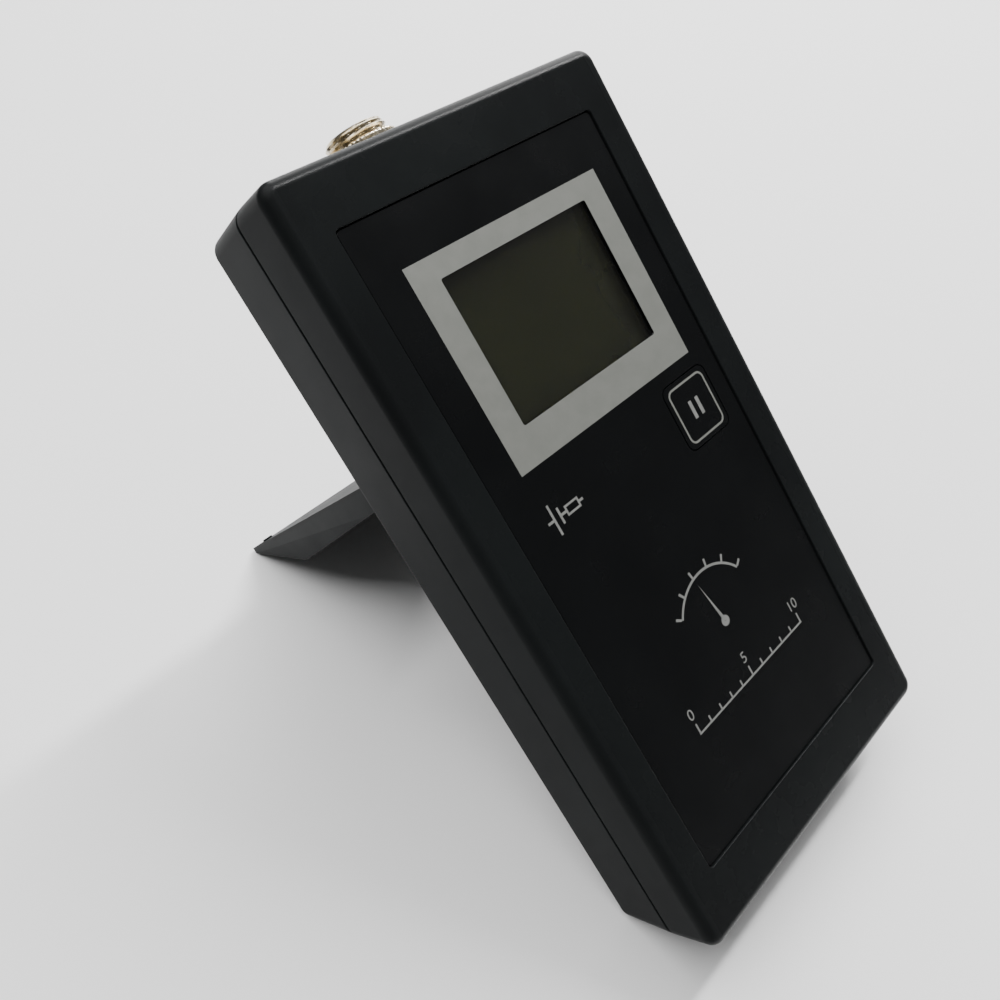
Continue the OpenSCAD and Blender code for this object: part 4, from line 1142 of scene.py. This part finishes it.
# %% Door
RIBS, RIB_IN, RIB_STEP = 7, 6, 2.2
RIB, RIB_R, RIB_H, RIB_EDGE, RIB_SINK = (20, 0.9), 0.44, 0.15, 0.2, 0.2
door = soft_copy("battery_door", "door_leaf", abs_black.material, 0.12)
door_foot = case_box("battery_door")[0][1]


def rib(y):
    """A low rib with slanted edges, sunk a little into the door."""
    rows = ((0, RECESS_Z + RIB_SINK), (0, RECESS_Z - RIB_H), (RIB_EDGE, RECESS_Z - 2 * RIB_H))
    return loft("rib", [plate_ring(RIB, RIB_R - cut, (0, y), z, -cut) for cut, z in rows], None)


carve(door, [rib(door_foot + RIB_IN + RIB_STEP * i) for i in range(RIBS)], "UNION")
settle(door, "case", "battery_door", slot="case_abs")

# %% [markdown]
# ## Finishes inside the case
# What is hidden in the photograph still gets a true finish, because the part may be opened or cut in
# another scene. The CAD shapes of these pieces are right, so their objects stay and only the materials
# change.

# %% Plastic, foam and rubber inside
holder_white = Finish("holder_white", Specular_IOR_Level=0.45)
holder_white.colour((0.62, 0.62, 0.59), (0.56, 0.56, 0.53), 120.0)
holder_white.gloss(0.4, 0.55, 400.0)
holder_white.grain(5000.0, 2.0, 0.00001)
light_panel = Finish("light_panel", Transmission_Weight=0.3, IOR=1.49)
light_panel.colour((0.78, 0.80, 0.78), (0.72, 0.74, 0.73), 200.0)
light_panel.gloss(0.35, 0.5, 600.0)
foam = Finish("foam_black", Specular_IOR_Level=0.2)
foam.colour((0.020, 0.020, 0.020), (0.012, 0.012, 0.012), 2500.0)
foam.gloss(0.85, 0.95, 1500.0)
foam.grain(3500.0, 4.0, 0.00008)
strip_rubber = Finish("strip_rubber", Specular_IOR_Level=0.3)
strip_rubber.colour((0.22, 0.21, 0.20), (0.05, 0.05, 0.05), 2500.0, 1.0)
strip_rubber.gloss(0.6, 0.75, 900.0)
strip_rubber.grain(4000.0, 2.0, 0.00001)

# %% Chips, cans and ferrite
chip = Finish("chip_black", Specular_IOR_Level=0.4)
chip.colour((0.020, 0.020, 0.021), (0.013, 0.013, 0.014), 800.0)
chip.gloss(0.5, 0.65, 1500.0)
chip.grain(9000.0, 3.0, 0.00001)
can = Finish("can_steel", Metallic=1.0)
can.colour((0.70, 0.70, 0.68), (0.58, 0.58, 0.57), 600.0)
can.gloss(0.2, 0.32, 1800.0)
can.grain(7000.0, 2.0, 0.000004)
ferrite = Finish("ferrite", Specular_IOR_Level=0.3)
ferrite.colour((0.045, 0.043, 0.042), (0.028, 0.027, 0.026), 1800.0)
ferrite.gloss(0.6, 0.8, 2400.0)
ferrite.grain(8000.0, 4.0, 0.00003)

# %% Sleeve, plunger and wires
sleeve = Finish("sleeve_blue", Specular_IOR_Level=0.5)
sleeve.colour((0.030, 0.045, 0.16), (0.022, 0.034, 0.13), 500.0)
sleeve.gloss(0.22, 0.34, 900.0)
sleeve.grain(1500.0, 2.0, 0.00001)
tan = Finish("plunger_tan", Specular_IOR_Level=0.4)
tan.colour((0.48, 0.38, 0.24), (0.42, 0.33, 0.20), 900.0)
tan.gloss(0.4, 0.55, 1200.0)
tan.grain(6000.0, 2.0, 0.00001)
wire_red = Finish("wire_red", Specular_IOR_Level=0.45)
wire_red.colour((0.36, 0.028, 0.022), (0.28, 0.020, 0.017), 700.0)
wire_red.gloss(0.32, 0.45, 900.0)
wire_red.grain(3000.0, 2.0, 0.00001)

# %% Board and batteries


def in_case_frame(finish):
    """Object coordinates turned back by the case's lean, so that a pattern runs along the case."""
    return finish.add("ShaderNodeMapping", Vector=finish.place, Rotation=(-lean, 0.0, 0.0))[0]


board = Finish("board_green", Specular_IOR_Level=0.5)
turn_back = in_case_frame(board)
lanes = board.add("ShaderNodeTexBrick", {"offset": 0.5}, Vector=turn_back, Scale=220.0, Mortar_Size=0.06,
                  Brick_Width=1.6, Row_Height=0.35)["Fac"]
patches = board.ramp(board.noise(140.0, 1.0, turn_back), (0.48, 0.0), (0.52, 1.0))
mask = board.mix(board.noise(90.0, 3.0), (0.010, 0.085, 0.030), (0.014, 0.105, 0.038))
traced = board.mix(board.maths("MULTIPLY", lanes, patches), mask, (0.035, 0.20, 0.075))
board.feed(board.shader.inputs["Base Color"], traced)
board.gloss(0.22, 0.34, 700.0)
board.relief(lanes, 0.00003)
cell = Finish("cell_wrap", Specular_IOR_Level=0.5)
length_way = cell.add("ShaderNodeSeparateXYZ", Vector=in_case_frame(cell))["Y"]
band = cell.maths("FRACT", cell.maths("MULTIPLY", length_way, 22.0))
copper = cell.ramp(band, (0.30, (0.015, 0.016, 0.018)), (0.32, (0.42, 0.24, 0.09)))
cell.feed(cell.shader.inputs["Base Color"], cell.mix(cell.noise(700.0), copper, (0.030, 0.028, 0.026)))
cell.gloss(0.2, 0.32, 1100.0)
cell.grain(1800.0, 2.0, 0.000006)

# %% Give each CAD node its finish
FINISHES = {
    holder_white: ("display_holder",), light_panel: ("backlight_panel",), foam: ("display_gasket",),
    strip_rubber: ("contact_strips",), board: ("main_board",),
    chip: ("controller_chip", "converter_chip", "amplifier_chips", "power_transistors", "chip_resistors",
           "key_switch", "wire_header"),
    can: ("timing_crystal", "battery_plates", "socket_washer"), ferrite: ("supply_inductor",),
    sleeve: ("filter_capacitors",), tan: ("switch_plunger",), wire_red: ("socket_wires", "battery_wires"),
    spring_look: ("battery_springs",), steel: ("door_screw", "board_screws"), cell: ("battery_cells",),
}
for finish, names in FINISHES.items():
    for name in names:
        dress(name, finish)
print("CAD nodes with a new finish:", sum(len(names) for names in FINISHES.values()))
